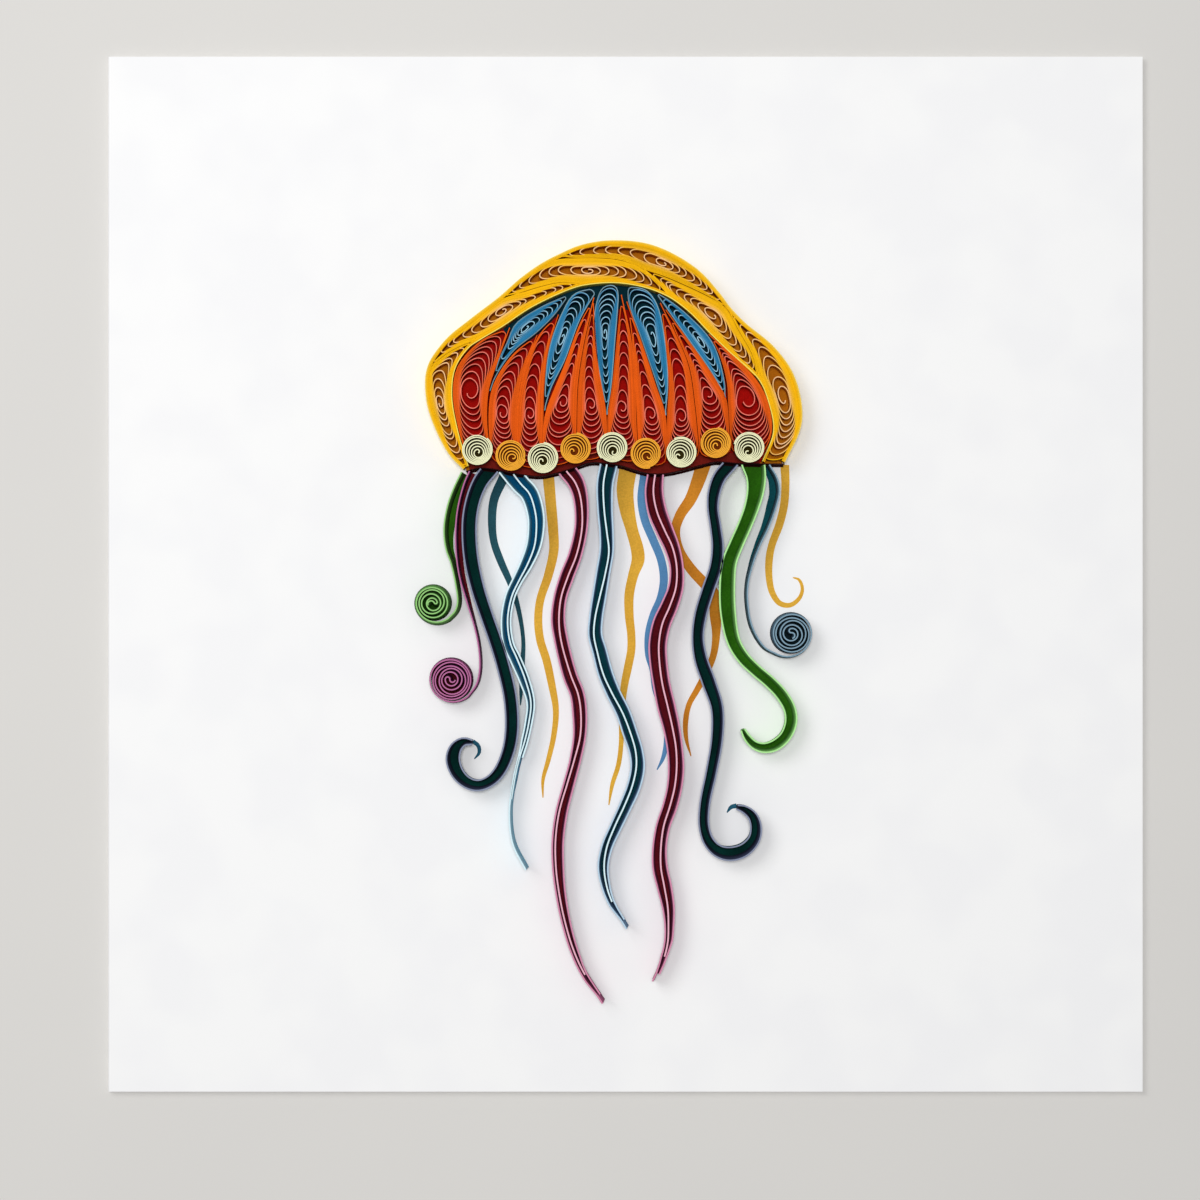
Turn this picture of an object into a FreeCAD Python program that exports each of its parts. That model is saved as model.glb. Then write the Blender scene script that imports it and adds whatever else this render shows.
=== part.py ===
"""Folded greeting card with a quilled paper jellyfish glued on its front.

The card lies closed on its back panel. Origin: middle of the back panel, on the surface it lies on.
+X runs right and +Y up as the card is read, +Z rises out of its front. All sizes are millimetres.
"""
import FreeCAD, Part
import math
import os

os.makedirs("parts", exist_ok=True)

# Card, one sheet folded along its left edge
CARD_WIDTH = 152.4
CARD_HEIGHT = 152.4
STOCK = 0.35
FOLD_GAP = 0.35

# Printed ground, drawn as a thin film of ink
INK = 0.05
PRINT_MARGIN = 0.15
BAND_SHARE = 0.75

# Points along the outlines of the bell's printed grounds and its hem
OUTER_FACETS = 24
ARCH_FACETS = 20
HEM_FACETS = 18
DROP_FACETS = 7

# Quilling strips, standing on edge
STRIP_HEIGHT = 3.2
BELL_PAPER = 0.14
TENTACLE_PAPER = 0.2
GLUE_GAP = 0.06
BELL_TURNS = 2.0
EYE_RADIUS = 0.55
TIP_ROOM = 0.2
FIRST_ROUNDING = 0.4
COIL_FACETS = 12
FACET_SAG = 0.22
PRINT_SAG = 0.3
ROUTE_SAMPLES = 160
SHARPEST_CORNER = 0.4
HEM_STEP = 0.02
LEAST_VOLUME = 0.0001

# Rolled beads, a second layer glued on the petals
BEAD_RADIUS = 2.3
BEAD_HEIGHT = 1.6
BEAD_EYE = 0.45
BEAD_TURNS = 2.25
BEAD_FACETS = 8

# Rolled ends of the first, second and last tentacles
ROLL_FACETS = 10
ROLL_EYE = 0.45

CARD_TOP = 2 * STOCK + FOLD_GAP
INK_TOP = CARD_TOP + INK
STRIP_TOP = INK_TOP + STRIP_HEIGHT

# Bell outline, clockwise from the bottom left, in the spans that its rim coils share
OUTER_LEFT = [(-23.6, 15.4), (-25.6, 17.5), (-27.6, 21.2), (-28.8, 24.7), (-29.1, 28.1), (-28.9, 29.7)]
OUTER_SHOULDER = [(-28.4, 31.1), (-26.0, 34.3), (-22.6, 37.1), (-18.3, 40.4)]
OUTER_RISE = [(-15.1, 43.2), (-12.1, 45.3), (-9.6, 46.6)]
OUTER_CROWN = [(-6.5, 47.9), (-2.0, 48.6), (4.0, 47.9), (10.2, 44.6), (13.7, 40.9), (15.2, 38.9)]
OUTER_RIGHT = [(17.4, 36.6), (21.5, 33.2), (24.3, 29.4), (25.6, 24.9), (25.5, 21.5), (23.2, 16.7)]

# Arch between the rim and the petals, from the bottom left
ARCH_LEFT = [(-22.9, 15.8), (-24.5, 21.2), (-25.3, 26.1), (-24.8, 30.1), (-22.9, 33.0), (-21.2, 34.2)]
ARCH_RISE = [(-18.0, 36.1), (-13.6, 39.0), (-8.0, 41.6), (-5.8, 42.2)]
ARCH_TOP = [(-1.3, 42.5), (3.3, 41.7), (6.6, 40.3)]
ARCH_FALL = [(9.5, 38.1), (12.3, 35.2), (15.1, 32.5), (19.4, 28.5)]
ARCH_RIGHT = [(20.8, 25.4), (21.6, 20.9), (20.3, 17.2)]

# Seams between neighbouring rim coils
SEAM_CROWN = [(-7.4, 46.2), (-3.7, 46.2), (-0.4, 45.8), (2.7, 44.5)]
SEAM_DIVE = [(5.2, 43.7), (8.1, 42.5), (12.5, 40.4), (14.6, 39.1)]
SEAM_NOTCH = [(4.0, 43.4), (5.5, 41.9), (6.6, 40.5)]
SEAM_RISE = [(-15.1, 41.2), (-12.1, 42.1), (-9.6, 42.6), (-5.9, 42.4)]
SEAM_SHOULDER = [(-27.2, 31.4), (-25.5, 32.6), (-23.4, 33.6), (-21.3, 34.3)]
SEAM_RIGHT = [(16.6, 35.6), (18.5, 32.2), (19.5, 28.8)]

# Each rim coil: first tip, one edge, other edge, eye
RIM_CELLS = [
    ((-9.6, 46.5), OUTER_CROWN, SEAM_CROWN + SEAM_DIVE, (5.4, 45.5)),
    ((-18.3, 40.3), OUTER_RISE + SEAM_CROWN + SEAM_NOTCH, SEAM_RISE + ARCH_TOP, (-5.4, 44.6)),
    ((-28.7, 29.9), OUTER_SHOULDER + SEAM_RISE, SEAM_SHOULDER + ARCH_RISE, (-17.8, 38.1)),
    ((-21.3, 34.3), SEAM_SHOULDER[-2::-1] + OUTER_LEFT[::-1], ARCH_LEFT[-2::-1], (-27.1, 25.0)),
    ((2.7, 44.5), SEAM_DIVE + SEAM_RIGHT, SEAM_NOTCH + ARCH_FALL, (12.9, 38.0)),
    ((14.8, 39.1), OUTER_RIGHT, SEAM_RIGHT + ARCH_RIGHT, (23.0, 25.7)),
]

# Each teardrop: lower tip, left edge, right edge, eye
TEARDROP_CELLS = [
    ((-19.8, 26.8), [(-18.7, 31.2), (-17.4, 34.0), (-16.2, 36.6), (-12.5, 39.1), (-8.4, 40.9)],
     [(-18.6, 29.3), (-16.2, 32.6), (-12.8, 35.3), (-10.2, 37.9), (-8.4, 40.4)], (-14.4, 35.7)),
    ((-11.8, 23.9), [(-11.9, 27.0), (-11.2, 33.2), (-9.3, 38.4), (-7.6, 41.0), (-4.6, 41.9)],
     [(-10.7, 27.3), (-8.8, 31.1), (-6.5, 37.2), (-4.1, 41.3)], (-9.0, 34.5)),
    ((-2.7, 23.3), [(-3.5, 27.0), (-4.5, 33.2), (-4.6, 37.2), (-3.6, 41.4), (-2.3, 42.1)],
     [(-2.0, 27.3), (-1.4, 34.1), (-1.1, 38.7), (-1.2, 41.5), (-2.0, 42.1)], (-3.0, 35.2)),
    ((5.9, 23.2), [(4.5, 27.5), (2.2, 34.3), (0.3, 39.9), (0.4, 41.8), (1.4, 41.9)],
     [(6.3, 27.5), (6.0, 33.2), (4.8, 39.3), (3.4, 41.3), (1.8, 41.9)], (4.0, 34.7)),
    ((14.6, 25.8), [(12.4, 29.5), (8.4, 35.2), (6.2, 38.9), (5.2, 40.4)],
     [(14.6, 27.8), (12.9, 33.7), (9.3, 37.8), (5.8, 40.3)], (11.2, 34.2)),
]

# Seams between the petals, from the arch down to the hem
PETAL_SEAMS = [
    [(-16.7, 35.7), (-18.7, 31.0), (-20.0, 26.8), (-20.2, 21.9), (-19.7, 17.6), (-19.6, 15.9)],
    [(-12.7, 34.9), (-14.8, 29.8), (-15.8, 24.7), (-15.9, 19.1), (-15.8, 15.3)],
    [(-9.7, 37.8), (-11.3, 32.6), (-11.9, 27.0), (-12.0, 21.9), (-12.2, 15.1)],
    [(-4.5, 40.0), (-6.2, 33.2), (-7.0, 27.6), (-7.2, 20.5), (-7.4, 16.0)],
    [(-4.6, 37.2), (-3.9, 30.0), (-2.8, 23.2), (-2.8, 16.7)],
    [(-0.4, 40.6), (0.9, 33.9), (1.4, 27.6), (1.6, 21.9), (1.9, 15.7)],
    [(2.9, 32.3), (4.4, 27.7), (5.9, 23.0), (5.9, 15.4)],
    [(5.1, 39.3), (7.2, 35.3), (9.2, 30.4), (10.1, 24.7), (10.9, 16.4)],
    [(11.5, 30.9), (13.4, 28.0), (14.7, 25.7), (15.2, 20.5), (15.6, 16.9)],
]
# Each petal: top tip, left edge, right edge, eye. The edges end at the hem.
PETAL_CELLS = [
    ((-16.9, 36.0), [(-21.0, 34.0), (-24.4, 30.1), (-25.0, 26.1), (-24.2, 21.2), (-22.7, 16.2)],
     PETAL_SEAMS[0][1:], (-23.4, 26.7)),
    ((-12.9, 34.9), [(-16.3, 32.3), (-18.7, 29.0), (-19.7, 26.4), (-20.0, 21.9), (-19.4, 15.9)],
     PETAL_SEAMS[1][1:], (-18.1, 23.6)),
    ((-9.8, 37.9), [(-12.6, 35.0), (-14.8, 29.8), (-15.8, 24.7), (-15.8, 15.3)],
     PETAL_SEAMS[2][1:], (-13.6, 23.3)),
    ((-4.6, 40.4), [(-6.6, 36.8), (-8.9, 30.7), (-11.6, 23.9), (-12.0, 21.5), (-12.0, 15.1)],
     PETAL_SEAMS[3][1:], (-9.1, 25.1)),
    ((-4.7, 39.6), [(-6.1, 33.2), (-6.9, 27.6), (-7.1, 20.5), (-7.2, 16.0)],
     PETAL_SEAMS[4][1:], (-4.9, 24.7)),
    ((-0.6, 40.8), [(-1.3, 34.1), (-2.0, 27.3), (-2.6, 23.2), (-2.6, 16.7)],
     PETAL_SEAMS[5][1:], (-0.3, 24.2)),
    ((0.2, 39.8), [(0.9, 34.5), (1.4, 27.6), (1.7, 21.9), (2.0, 15.7)],
     PETAL_SEAMS[6], (3.5, 23.3)),
    ((5.4, 38.9), [(5.9, 33.2), (6.3, 27.5), (6.1, 23.2), (6.0, 15.4)],
     PETAL_SEAMS[7][1:], (8.1, 23.0)),
    ((5.9, 38.6), [(7.3, 35.3), (9.3, 30.4), (10.2, 24.7), (11.0, 16.4)],
     PETAL_SEAMS[8], (11.9, 26.3)),
    ((12.2, 35.0), [(13.7, 32.0), (14.8, 28.0), (15.0, 25.0), (15.3, 20.5), (15.7, 16.9)],
     [(15.3, 32.0), (18.8, 28.4), (20.5, 25.4), (21.3, 20.9), (20.1, 17.2)], (18.0, 25.6)),
]

# Wavy hem strip under the bell
HEM = [(-23.3, 15.0), (-21.4, 15.5), (-19.1, 15.3), (-16.2, 14.7), (-12.5, 14.3), (-10.3, 14.7),
       (-7.6, 15.5), (-5.0, 16.3), (-2.9, 16.2), (-0.5, 15.8), (1.4, 15.2), (3.4, 14.7), (5.9, 14.7),
       (8.4, 15.2), (11.0, 15.9), (13.3, 16.4), (16.2, 16.2), (20.6, 16.1), (23.3, 16.1)]

# Bead middles, cream and orange in turn from the left
BEADS = [(-21.6, 18.1), (-16.7, 17.3), (-12.05, 16.9), (-7.3, 18.3), (-1.9, 18.4), (3.0, 17.6),
         (8.1, 17.7), (13.1, 19.1), (18.0, 18.4)]

# Tentacles of one strip with a rolled end: route, middle of the roll, direction of the sweep, turns
GREEN_ROLL = [(-23.7, 14.9), (-24.9, 12.4), (-25.8, 9.8), (-26.3, 6.5), (-26.0, 3.7), (-25.3, 1.7),
              (-24.6, -1.4), (-24.3, -4.1), (-24.7, -5.5), (-25.8, -6.7)]
MAUVE_ROLL = [(-22.6, 15.2), (-23.5, 13.1), (-24.5, 8.9), (-24.7, 4.3), (-24.2, -0.1), (-23.0, -4.3),
              (-21.9, -7.9), (-21.3, -11.0), (-21.2, -14.0), (-21.7, -16.2), (-23.0, -18.0)]
BLUE_ROLL = [(20.9, 16.0), (22.1, 13.9), (22.4, 12.1), (21.9, 9.8), (20.8, 6.8), (19.6, 4.3),
             (18.6, 1.7), (17.8, -1.6), (17.8, -4.5), (18.5, -7.9), (20.3, -10.8), (22.3, -11.9)]
ROLLED_TENTACLES = {
    "tentacle_01_green": (GREEN_ROLL, (-27.9, -4.3), -1, 3.25),
    "tentacle_02_mauve": (MAUVE_ROLL, (-25.5, -15.2), -1, 3.75),
    "tentacle_10_blue": (BLUE_ROLL, (24.3, -8.6), 1, 3.75),
}

# Tentacles of two or three strips: x, y, distance to the left strip, distance to the right strip
TENTACLE_3 = [
    (-19.7, 15.4, 0.95), (-21.1, 13.6, 0.9), (-22.1, 11.3, 0.85), (-22.7, 8.5, 0.85), (-22.8, 5.5, 0.85),
    (-22.5, 2.1, 0.85), (-21.6, -2.0, 0.8), (-20.3, -6.0, 0.75), (-19.0, -9.7, 0.75), (-17.9, -13.3, 0.75),
    (-16.8, -18.2, 0.75), (-16.6, -22.9, 0.75), (-17.2, -26.2, 0.7), (-18.5, -29.0, 0.65),
    (-20.0, -30.4, 0.6), (-21.7, -30.9, 0.6), (-23.4, -30.3, 0.65), (-24.7, -28.8, 0.75),
    (-25.2, -26.9, 0.8), (-24.7, -25.3, 0.65), (-23.6, -24.5, 0.4), (-22.4, -24.6, 0.15)]
TENTACLE_8 = [
    (15.3, 16.0, 0.75), (13.8, 14.2, 0.75), (13.0, 12.0, 0.7), (12.8, 9.7, 0.6), (13.2, 6.8, 0.6),
    (13.5, 4.0, 0.65), (13.2, 1.0, 0.7), (12.0, -2.6, 0.7), (11.0, -6.0, 0.7), (10.6, -9.2, 0.65),
    (11.0, -12.3, 0.75), (12.2, -15.8, 0.8), (13.4, -19.6, 0.7), (13.4, -24.0, 0.65), (12.6, -28.8, 0.6),
    (11.6, -33.7, 0.55), (11.5, -36.8, 0.55), (12.2, -39.1, 0.6), (13.6, -40.5, 0.7), (15.4, -40.9, 0.8),
    (17.4, -40.3, 0.75), (18.8, -38.8, 0.65), (19.1, -37.0, 0.6), (18.6, -35.4, 0.5), (17.4, -34.4, 0.35),
    (16.4, -34.1, 0.15)]
TENTACLE_9 = [
    (18.6, 16.5, 1.5), (19.1, 14.2, 1.2), (19.0, 12.0, 1.0), (18.4, 9.6, 0.85), (17.4, 7.0, 0.8),
    (16.2, 4.3, 0.8), (15.2, 1.7, 0.85), (14.9, -1.3, 0.9), (15.0, -5.6, 0.9), (15.8, -9.8, 0.75),
    (17.2, -12.2, 0.7), (19.1, -14.1, 0.65), (21.1, -15.8, 0.65), (22.8, -17.6, 0.65), (24.0, -19.7, 0.65),
    (24.2, -21.7, 0.65), (23.4, -23.7, 0.6), (21.9, -25.0, 0.6), (20.3, -25.4, 0.5), (18.9, -25.0, 0.4),
    (17.8, -23.9, 0.3), (17.2, -22.8, 0.15)]
TENTACLE_4 = [
    (-16.6, 14.9, 1.1, 1.3), (-15.3, 13.2, 1.1, 1.2), (-14.0, 11.7, 1.1, 1.1), (-13.1, 8.7, 1.0, 1.0),
    (-13.0, 6.5, 0.9, 1.0), (-13.3, 4.0, 0.7, 1.0), (-14.3, 1.4, 0.5, 0.9), (-15.6, -1.1, 0.3, 0.75),
    (-16.6, -3.3, 0.25, 0.75), (-17.2, -6.7, 0.25, 0.75), (-16.8, -10.1, 0.25, 0.85),
    (-15.9, -12.2, 0.35, 0.85), (-14.6, -15.5, 0.4, 0.7), (-13.8, -18.8, 0.35, 0.4),
    (-14.1, -21.7, 0.3, 0.35), (-14.7, -24.4, 0.25, 0.3), (-15.6, -27.3, 0.2, 0.2),
    (-16.3, -30.6, 0.2, 0.2), (-16.8, -35.0, 0.2, 0.2), (-16.3, -39.4, 0.2, 0.2), (-14.4, -43.2, 0.2, 0.2)]
TENTACLE_5 = [
    (-8.5, 14.9, 1.2, 0.9), (-7.4, 13.5, 1.1, 0.9), (-6.6, 11.4, 0.85, 0.85), (-6.3, 7.2, 0.6, 0.85),
    (-7.1, 2.9, 0.55, 0.95), (-8.4, -0.4, 0.65, 0.95), (-9.4, -3.5, 0.6, 0.85), (-9.7, -6.7, 0.65, 0.9),
    (-9.4, -9.7, 0.8, 0.75), (-8.0, -14.7, 0.7, 0.95), (-6.9, -17.6, 0.7, 0.95), (-6.5, -20.3, 0.65, 1.0),
    (-6.6, -23.7, 0.6, 0.8), (-7.7, -27.3, 0.55, 0.65), (-8.8, -30.7, 0.55, 0.6), (-10.0, -34.7, 0.65, 0.65),
    (-10.6, -38.8, 0.6, 0.7), (-10.6, -42.8, 0.5, 0.75), (-10.0, -46.5, 0.45, 0.6), (-9.1, -50.5, 0.4, 0.5),
    (-7.8, -54.6, 0.35, 0.4), (-6.2, -58.0, 0.3, 0.3), (-3.2, -62.7, 0.2, 0.2)]
TENTACLE_6 = [
    (-2.7, 16.0, 1.3, 0.75), (-3.2, 13.2, 1.2, 0.75), (-3.1, 9.5, 1.0, 0.75), (-2.7, 6.1, 0.75, 0.85),
    (-2.4, 3.3, 0.45, 1.15), (-2.9, 0.2, 0.45, 1.15), (-3.7, -3.2, 0.7, 0.9), (-4.4, -6.3, 0.9, 0.65),
    (-4.6, -8.9, 1.0, 0.6), (-4.1, -11.4, 1.2, 0.5), (-3.2, -14.7, 1.2, 0.55), (-1.9, -17.5, 1.0, 0.65),
    (-0.4, -20.3, 0.9, 0.75), (0.7, -23.1, 0.8, 0.9), (1.5, -25.9, 0.85, 0.75), (1.6, -28.2, 1.0, 0.6),
    (1.0, -31.0, 1.0, 0.55), (-0.1, -33.8, 0.85, 0.55), (-1.5, -36.8, 0.8, 0.5), (-2.7, -39.9, 0.6, 0.6),
    (-3.1, -42.8, 0.4, 0.7), (-2.7, -45.7, 0.3, 0.55), (-1.8, -48.2, 0.2, 0.4), (0.3, -51.8, 0.2, 0.2)]
TENTACLE_7 = [
    (4.4, 14.9, 1.0, 0.9), (4.1, 12.0, 1.2, 1.0), (4.6, 9.2, 1.2, 1.1), (5.7, 6.5, 1.05, 1.05),
    (6.9, 3.9, 0.8, 1.0), (7.5, 1.1, 0.75, 0.8), (7.4, -1.9, 0.85, 0.9), (6.5, -4.7, 0.95, 1.1),
    (5.4, -7.3, 1.0, 1.2), (4.9, -10.3, 0.9, 1.25), (5.0, -13.0, 0.9, 1.2), (5.4, -16.0, 0.9, 1.15),
    (6.2, -19.4, 0.9, 1.3), (6.9, -22.5, 0.85, 1.15), (7.4, -25.4, 0.75, 1.1), (7.5, -28.4, 0.85, 1.0),
    (7.2, -31.2, 0.85, 0.9), (6.5, -34.0, 0.85, 0.85), (5.6, -36.9, 0.7, 0.9), (5.2, -40.0, 0.6, 1.0),
    (5.2, -42.9, 0.75, 1.0), (5.7, -45.7, 0.85, 0.85), (6.2, -48.7, 0.75, 0.6), (6.3, -51.2, 0.6, 0.35),
    (6.2, -53.8, 0.45, 0.3), (5.6, -56.3, 0.3, 0.3), (4.1, -59.6, 0.2, 0.2)]

FLAT_TENTACLES = {
    "tentacle_03_teal": TENTACLE_3,
    "tentacle_04_blue": TENTACLE_4,
    "tentacle_05_maroon": TENTACLE_5,
    "tentacle_06_teal": TENTACLE_6,
    "tentacle_07_maroon": TENTACLE_7,
    "tentacle_08_teal": TENTACLE_8,
    "tentacle_09_green": TENTACLE_9,
}

# Printed ribbons with no strip on them: x, y, half width
YELLOW_RIBBONS = [
    [(-11.3, 14.3, 0.85), (-11.0, 11.0, 0.8), (-10.6, 6.5, 0.75), (-10.5, 3.6, 0.7), (-11.3, -0.1, 0.65),
     (-12.5, -3.8, 0.6), (-12.8, -6.7, 0.6), (-12.5, -9.7, 0.6), (-11.6, -12.6, 0.6), (-10.8, -16.3, 0.55),
     (-10.2, -20.0, 0.45), (-10.5, -23.7, 0.4), (-11.3, -27.3, 0.35), (-12.1, -30.3, 0.25),
     (-12.1, -32.9, 0.08)],
    [(0.4, 15.3, 1.3), (0.0, 12.4, 1.25), (0.3, 9.5, 1.1), (1.0, 6.5, 0.9), (1.8, 3.6, 0.95),
     (1.9, 2.1, 0.95), (1.2, -0.1, 0.75), (0.6, -3.0, 0.7), (0.6, -6.0, 0.65), (0.9, -8.9, 0.6),
     (0.9, -11.1, 0.6), (0.4, -13.8, 0.6), (-0.1, -16.3, 0.55), (-0.5, -20.3, 0.4), (-0.6, -25.1, 0.35),
     (-1.0, -28.1, 0.35), (-1.9, -31.0, 0.3), (-2.4, -34.0, 0.08)],
    [(23.9, 16.0, 0.65), (23.7, 13.2, 0.6), (23.4, 10.2, 0.6), (22.7, 7.3, 0.6), (21.6, 4.3, 0.55),
     (21.2, 2.1, 0.55), (21.2, -0.5, 0.5), (21.8, -2.6, 0.45), (23.0, -4.1, 0.4), (24.3, -4.2, 0.35),
     (25.6, -3.3, 0.3), (26.1, -2.0, 0.25), (25.6, -0.8, 0.2), (24.7, -0.5, 0.08)],
]
ORANGE_RIBBON = [
    (11.5, 16.1, 1.1), (10.8, 13.9, 1.0), (9.6, 11.0, 0.85), (8.1, 8.7, 0.75), (7.4, 6.4, 0.7),
    (8.0, 3.6, 0.65), (9.6, 0.9, 0.75), (11.6, -1.3, 0.8), (13.1, -3.0, 0.85), (13.3, -6.0, 0.85),
    (13.4, -8.9, 0.6), (13.0, -11.9, 0.5), (12.0, -14.4, 0.5), (10.6, -17.0, 0.45), (9.4, -19.2, 0.4),
    (8.9, -21.7, 0.4), (9.0, -24.2, 0.3), (9.7, -26.8, 0.08)]
SKY_RIBBON = [
    (2.8, 14.6, 0.6), (2.4, 11.0, 0.6), (2.9, 8.0, 0.6), (4.1, 5.1, 0.6), (5.3, 2.1, 0.6),
    (5.7, -0.8, 0.6), (5.2, -3.5, 0.55), (4.1, -6.0, 0.5), (3.4, -8.9, 0.5), (3.4, -11.9, 0.45),
    (4.0, -14.1, 0.4), (4.4, -17.0, 0.4), (5.2, -19.2, 0.4), (6.1, -22.0, 0.4), (6.0, -25.1, 0.35),
    (5.6, -27.0, 0.3), (4.7, -28.8, 0.08)]
TEAL_RIBBON = [
    (-17.7, 14.6, 0.75), (-19.3, 11.0, 0.65), (-19.6, 7.5, 0.6), (-19.3, 4.7, 0.55), (-18.4, 2.1, 0.55),
    (-16.8, -1.6, 0.45), (-15.7, -5.2, 0.35), (-15.0, -9.7, 0.3), (-15.1, -13.0, 0.35),
    (-15.3, -17.0, 0.3), (-15.4, -19.3, 0.08)]

# Printed tails that run on past a hooked pair of strips
TEAL_TAILS = [
    [(-22.4, -24.6, 0.3), (-21.6, -25.3, 0.3), (-21.5, -26.3, 0.25), (-22.2, -27.2, 0.08)],
    [(16.4, -34.1, 0.35), (15.6, -34.3, 0.3), (15.0, -35.1, 0.08)],
]

# Width of the print beside each one-strip tentacle, from the hem down
GREEN_BAND = [0.3, 0.9, 1.1, 1.0, 0.7, 0.4, 0.08]
MAUVE_BAND = [0.3, 0.5, 0.6, 0.5, 0.4, 0.2, 0.08]
BLUE_BAND = [0.5, 0.9, 0.9, 0.7, 0.5, 0.3, 0.2, 0.08]


def smooth(points, count):
    """Points spaced evenly along one smooth curve through the given ones."""
    vectors = [FreeCAD.Vector(p[0], p[1], p[2] if len(p) > 2 else 0) for p in points]
    if len(vectors) == 2:
        return [vectors[0] + (vectors[1] - vectors[0]) * (i / (count - 1)) for i in range(count)]
    curve = Part.BSplineCurve()
    curve.interpolate(vectors)
    return curve.discretize(count)


def flat(points):
    """The same points, laid in the plane of the card."""
    return [FreeCAD.Vector(p.x, p.y, 0) for p in points]


def route_length(points):
    """Length of a run of straight pieces."""
    return sum((b - a).Length for a, b in zip(points, points[1:]))


def headings(points):
    """Unit directions of travel before and after each point."""
    steps = [b - a for a, b in zip(points, points[1:])]
    for step in steps:
        step.normalize()
    return list(zip(steps[:1] + steps, steps + steps[-1:]))


def normals(points):
    """Unit vectors to the left of the direction of travel, one at each point."""
    result = []
    for before, after in headings(points):
        along = before + after
        along.normalize()
        result.append(FreeCAD.Vector(-along.y, along.x, 0))
    return result


def beside(points, distances):
    """Points moved to the left of the route by a distance of their own."""
    return [p + n * d for p, n, d in zip(points, normals(points), distances)]


def prism(points, base, height):
    """Upright solid over a closed outline."""
    ring = [FreeCAD.Vector(p.x, p.y, base) for p in points]
    face = Part.Face(Part.makePolygon(ring + ring[:1]))
    return face.extrude(FreeCAD.Vector(0, 0, height))


def mitres(points):
    """How much further out the corner of an offset lies than its sides, one at each point."""
    halves = [before.getAngle(after) / 2 for before, after in headings(points)]
    return [1 / max(math.cos(half), SHARPEST_CORNER) for half in halves]


def strip(points, paper, base, height):
    """Paper strip that stands on edge along a route."""
    reach = [paper / 2 * m for m in mitres(points)]
    left = beside(points, reach)
    right = beside(points, [-r for r in reach])
    return prism(left + right[::-1], base, height)


def folded_card():
    """Card of one sheet, closed, with its fold along the left edge."""
    outer_radius = CARD_TOP / 2
    inner_radius = FOLD_GAP / 2
    left = -CARD_WIDTH / 2
    bend = left + outer_radius
    right = CARD_WIDTH / 2
    near = -CARD_HEIGHT / 2
    middle = outer_radius

    def at(x, z):
        return FreeCAD.Vector(x, near, z)

    outline = [
        Part.LineSegment(at(right, 0), at(bend, 0)).toShape(),
        Part.Arc(at(bend, 0), at(left, middle), at(bend, CARD_TOP)).toShape(),
        Part.LineSegment(at(bend, CARD_TOP), at(right, CARD_TOP)).toShape(),
        Part.LineSegment(at(right, CARD_TOP), at(right, CARD_TOP - STOCK)).toShape(),
        Part.LineSegment(at(right, CARD_TOP - STOCK), at(bend, CARD_TOP - STOCK)).toShape(),
        Part.Arc(at(bend, CARD_TOP - STOCK), at(bend - inner_radius, middle), at(bend, STOCK)).toShape(),
        Part.LineSegment(at(bend, STOCK), at(right, STOCK)).toShape(),
        Part.LineSegment(at(right, STOCK), at(right, 0)).toShape(),
    ]
    return Part.Face(Part.Wire(outline)).extrude(FreeCAD.Vector(0, CARD_HEIGHT, 0))


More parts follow.
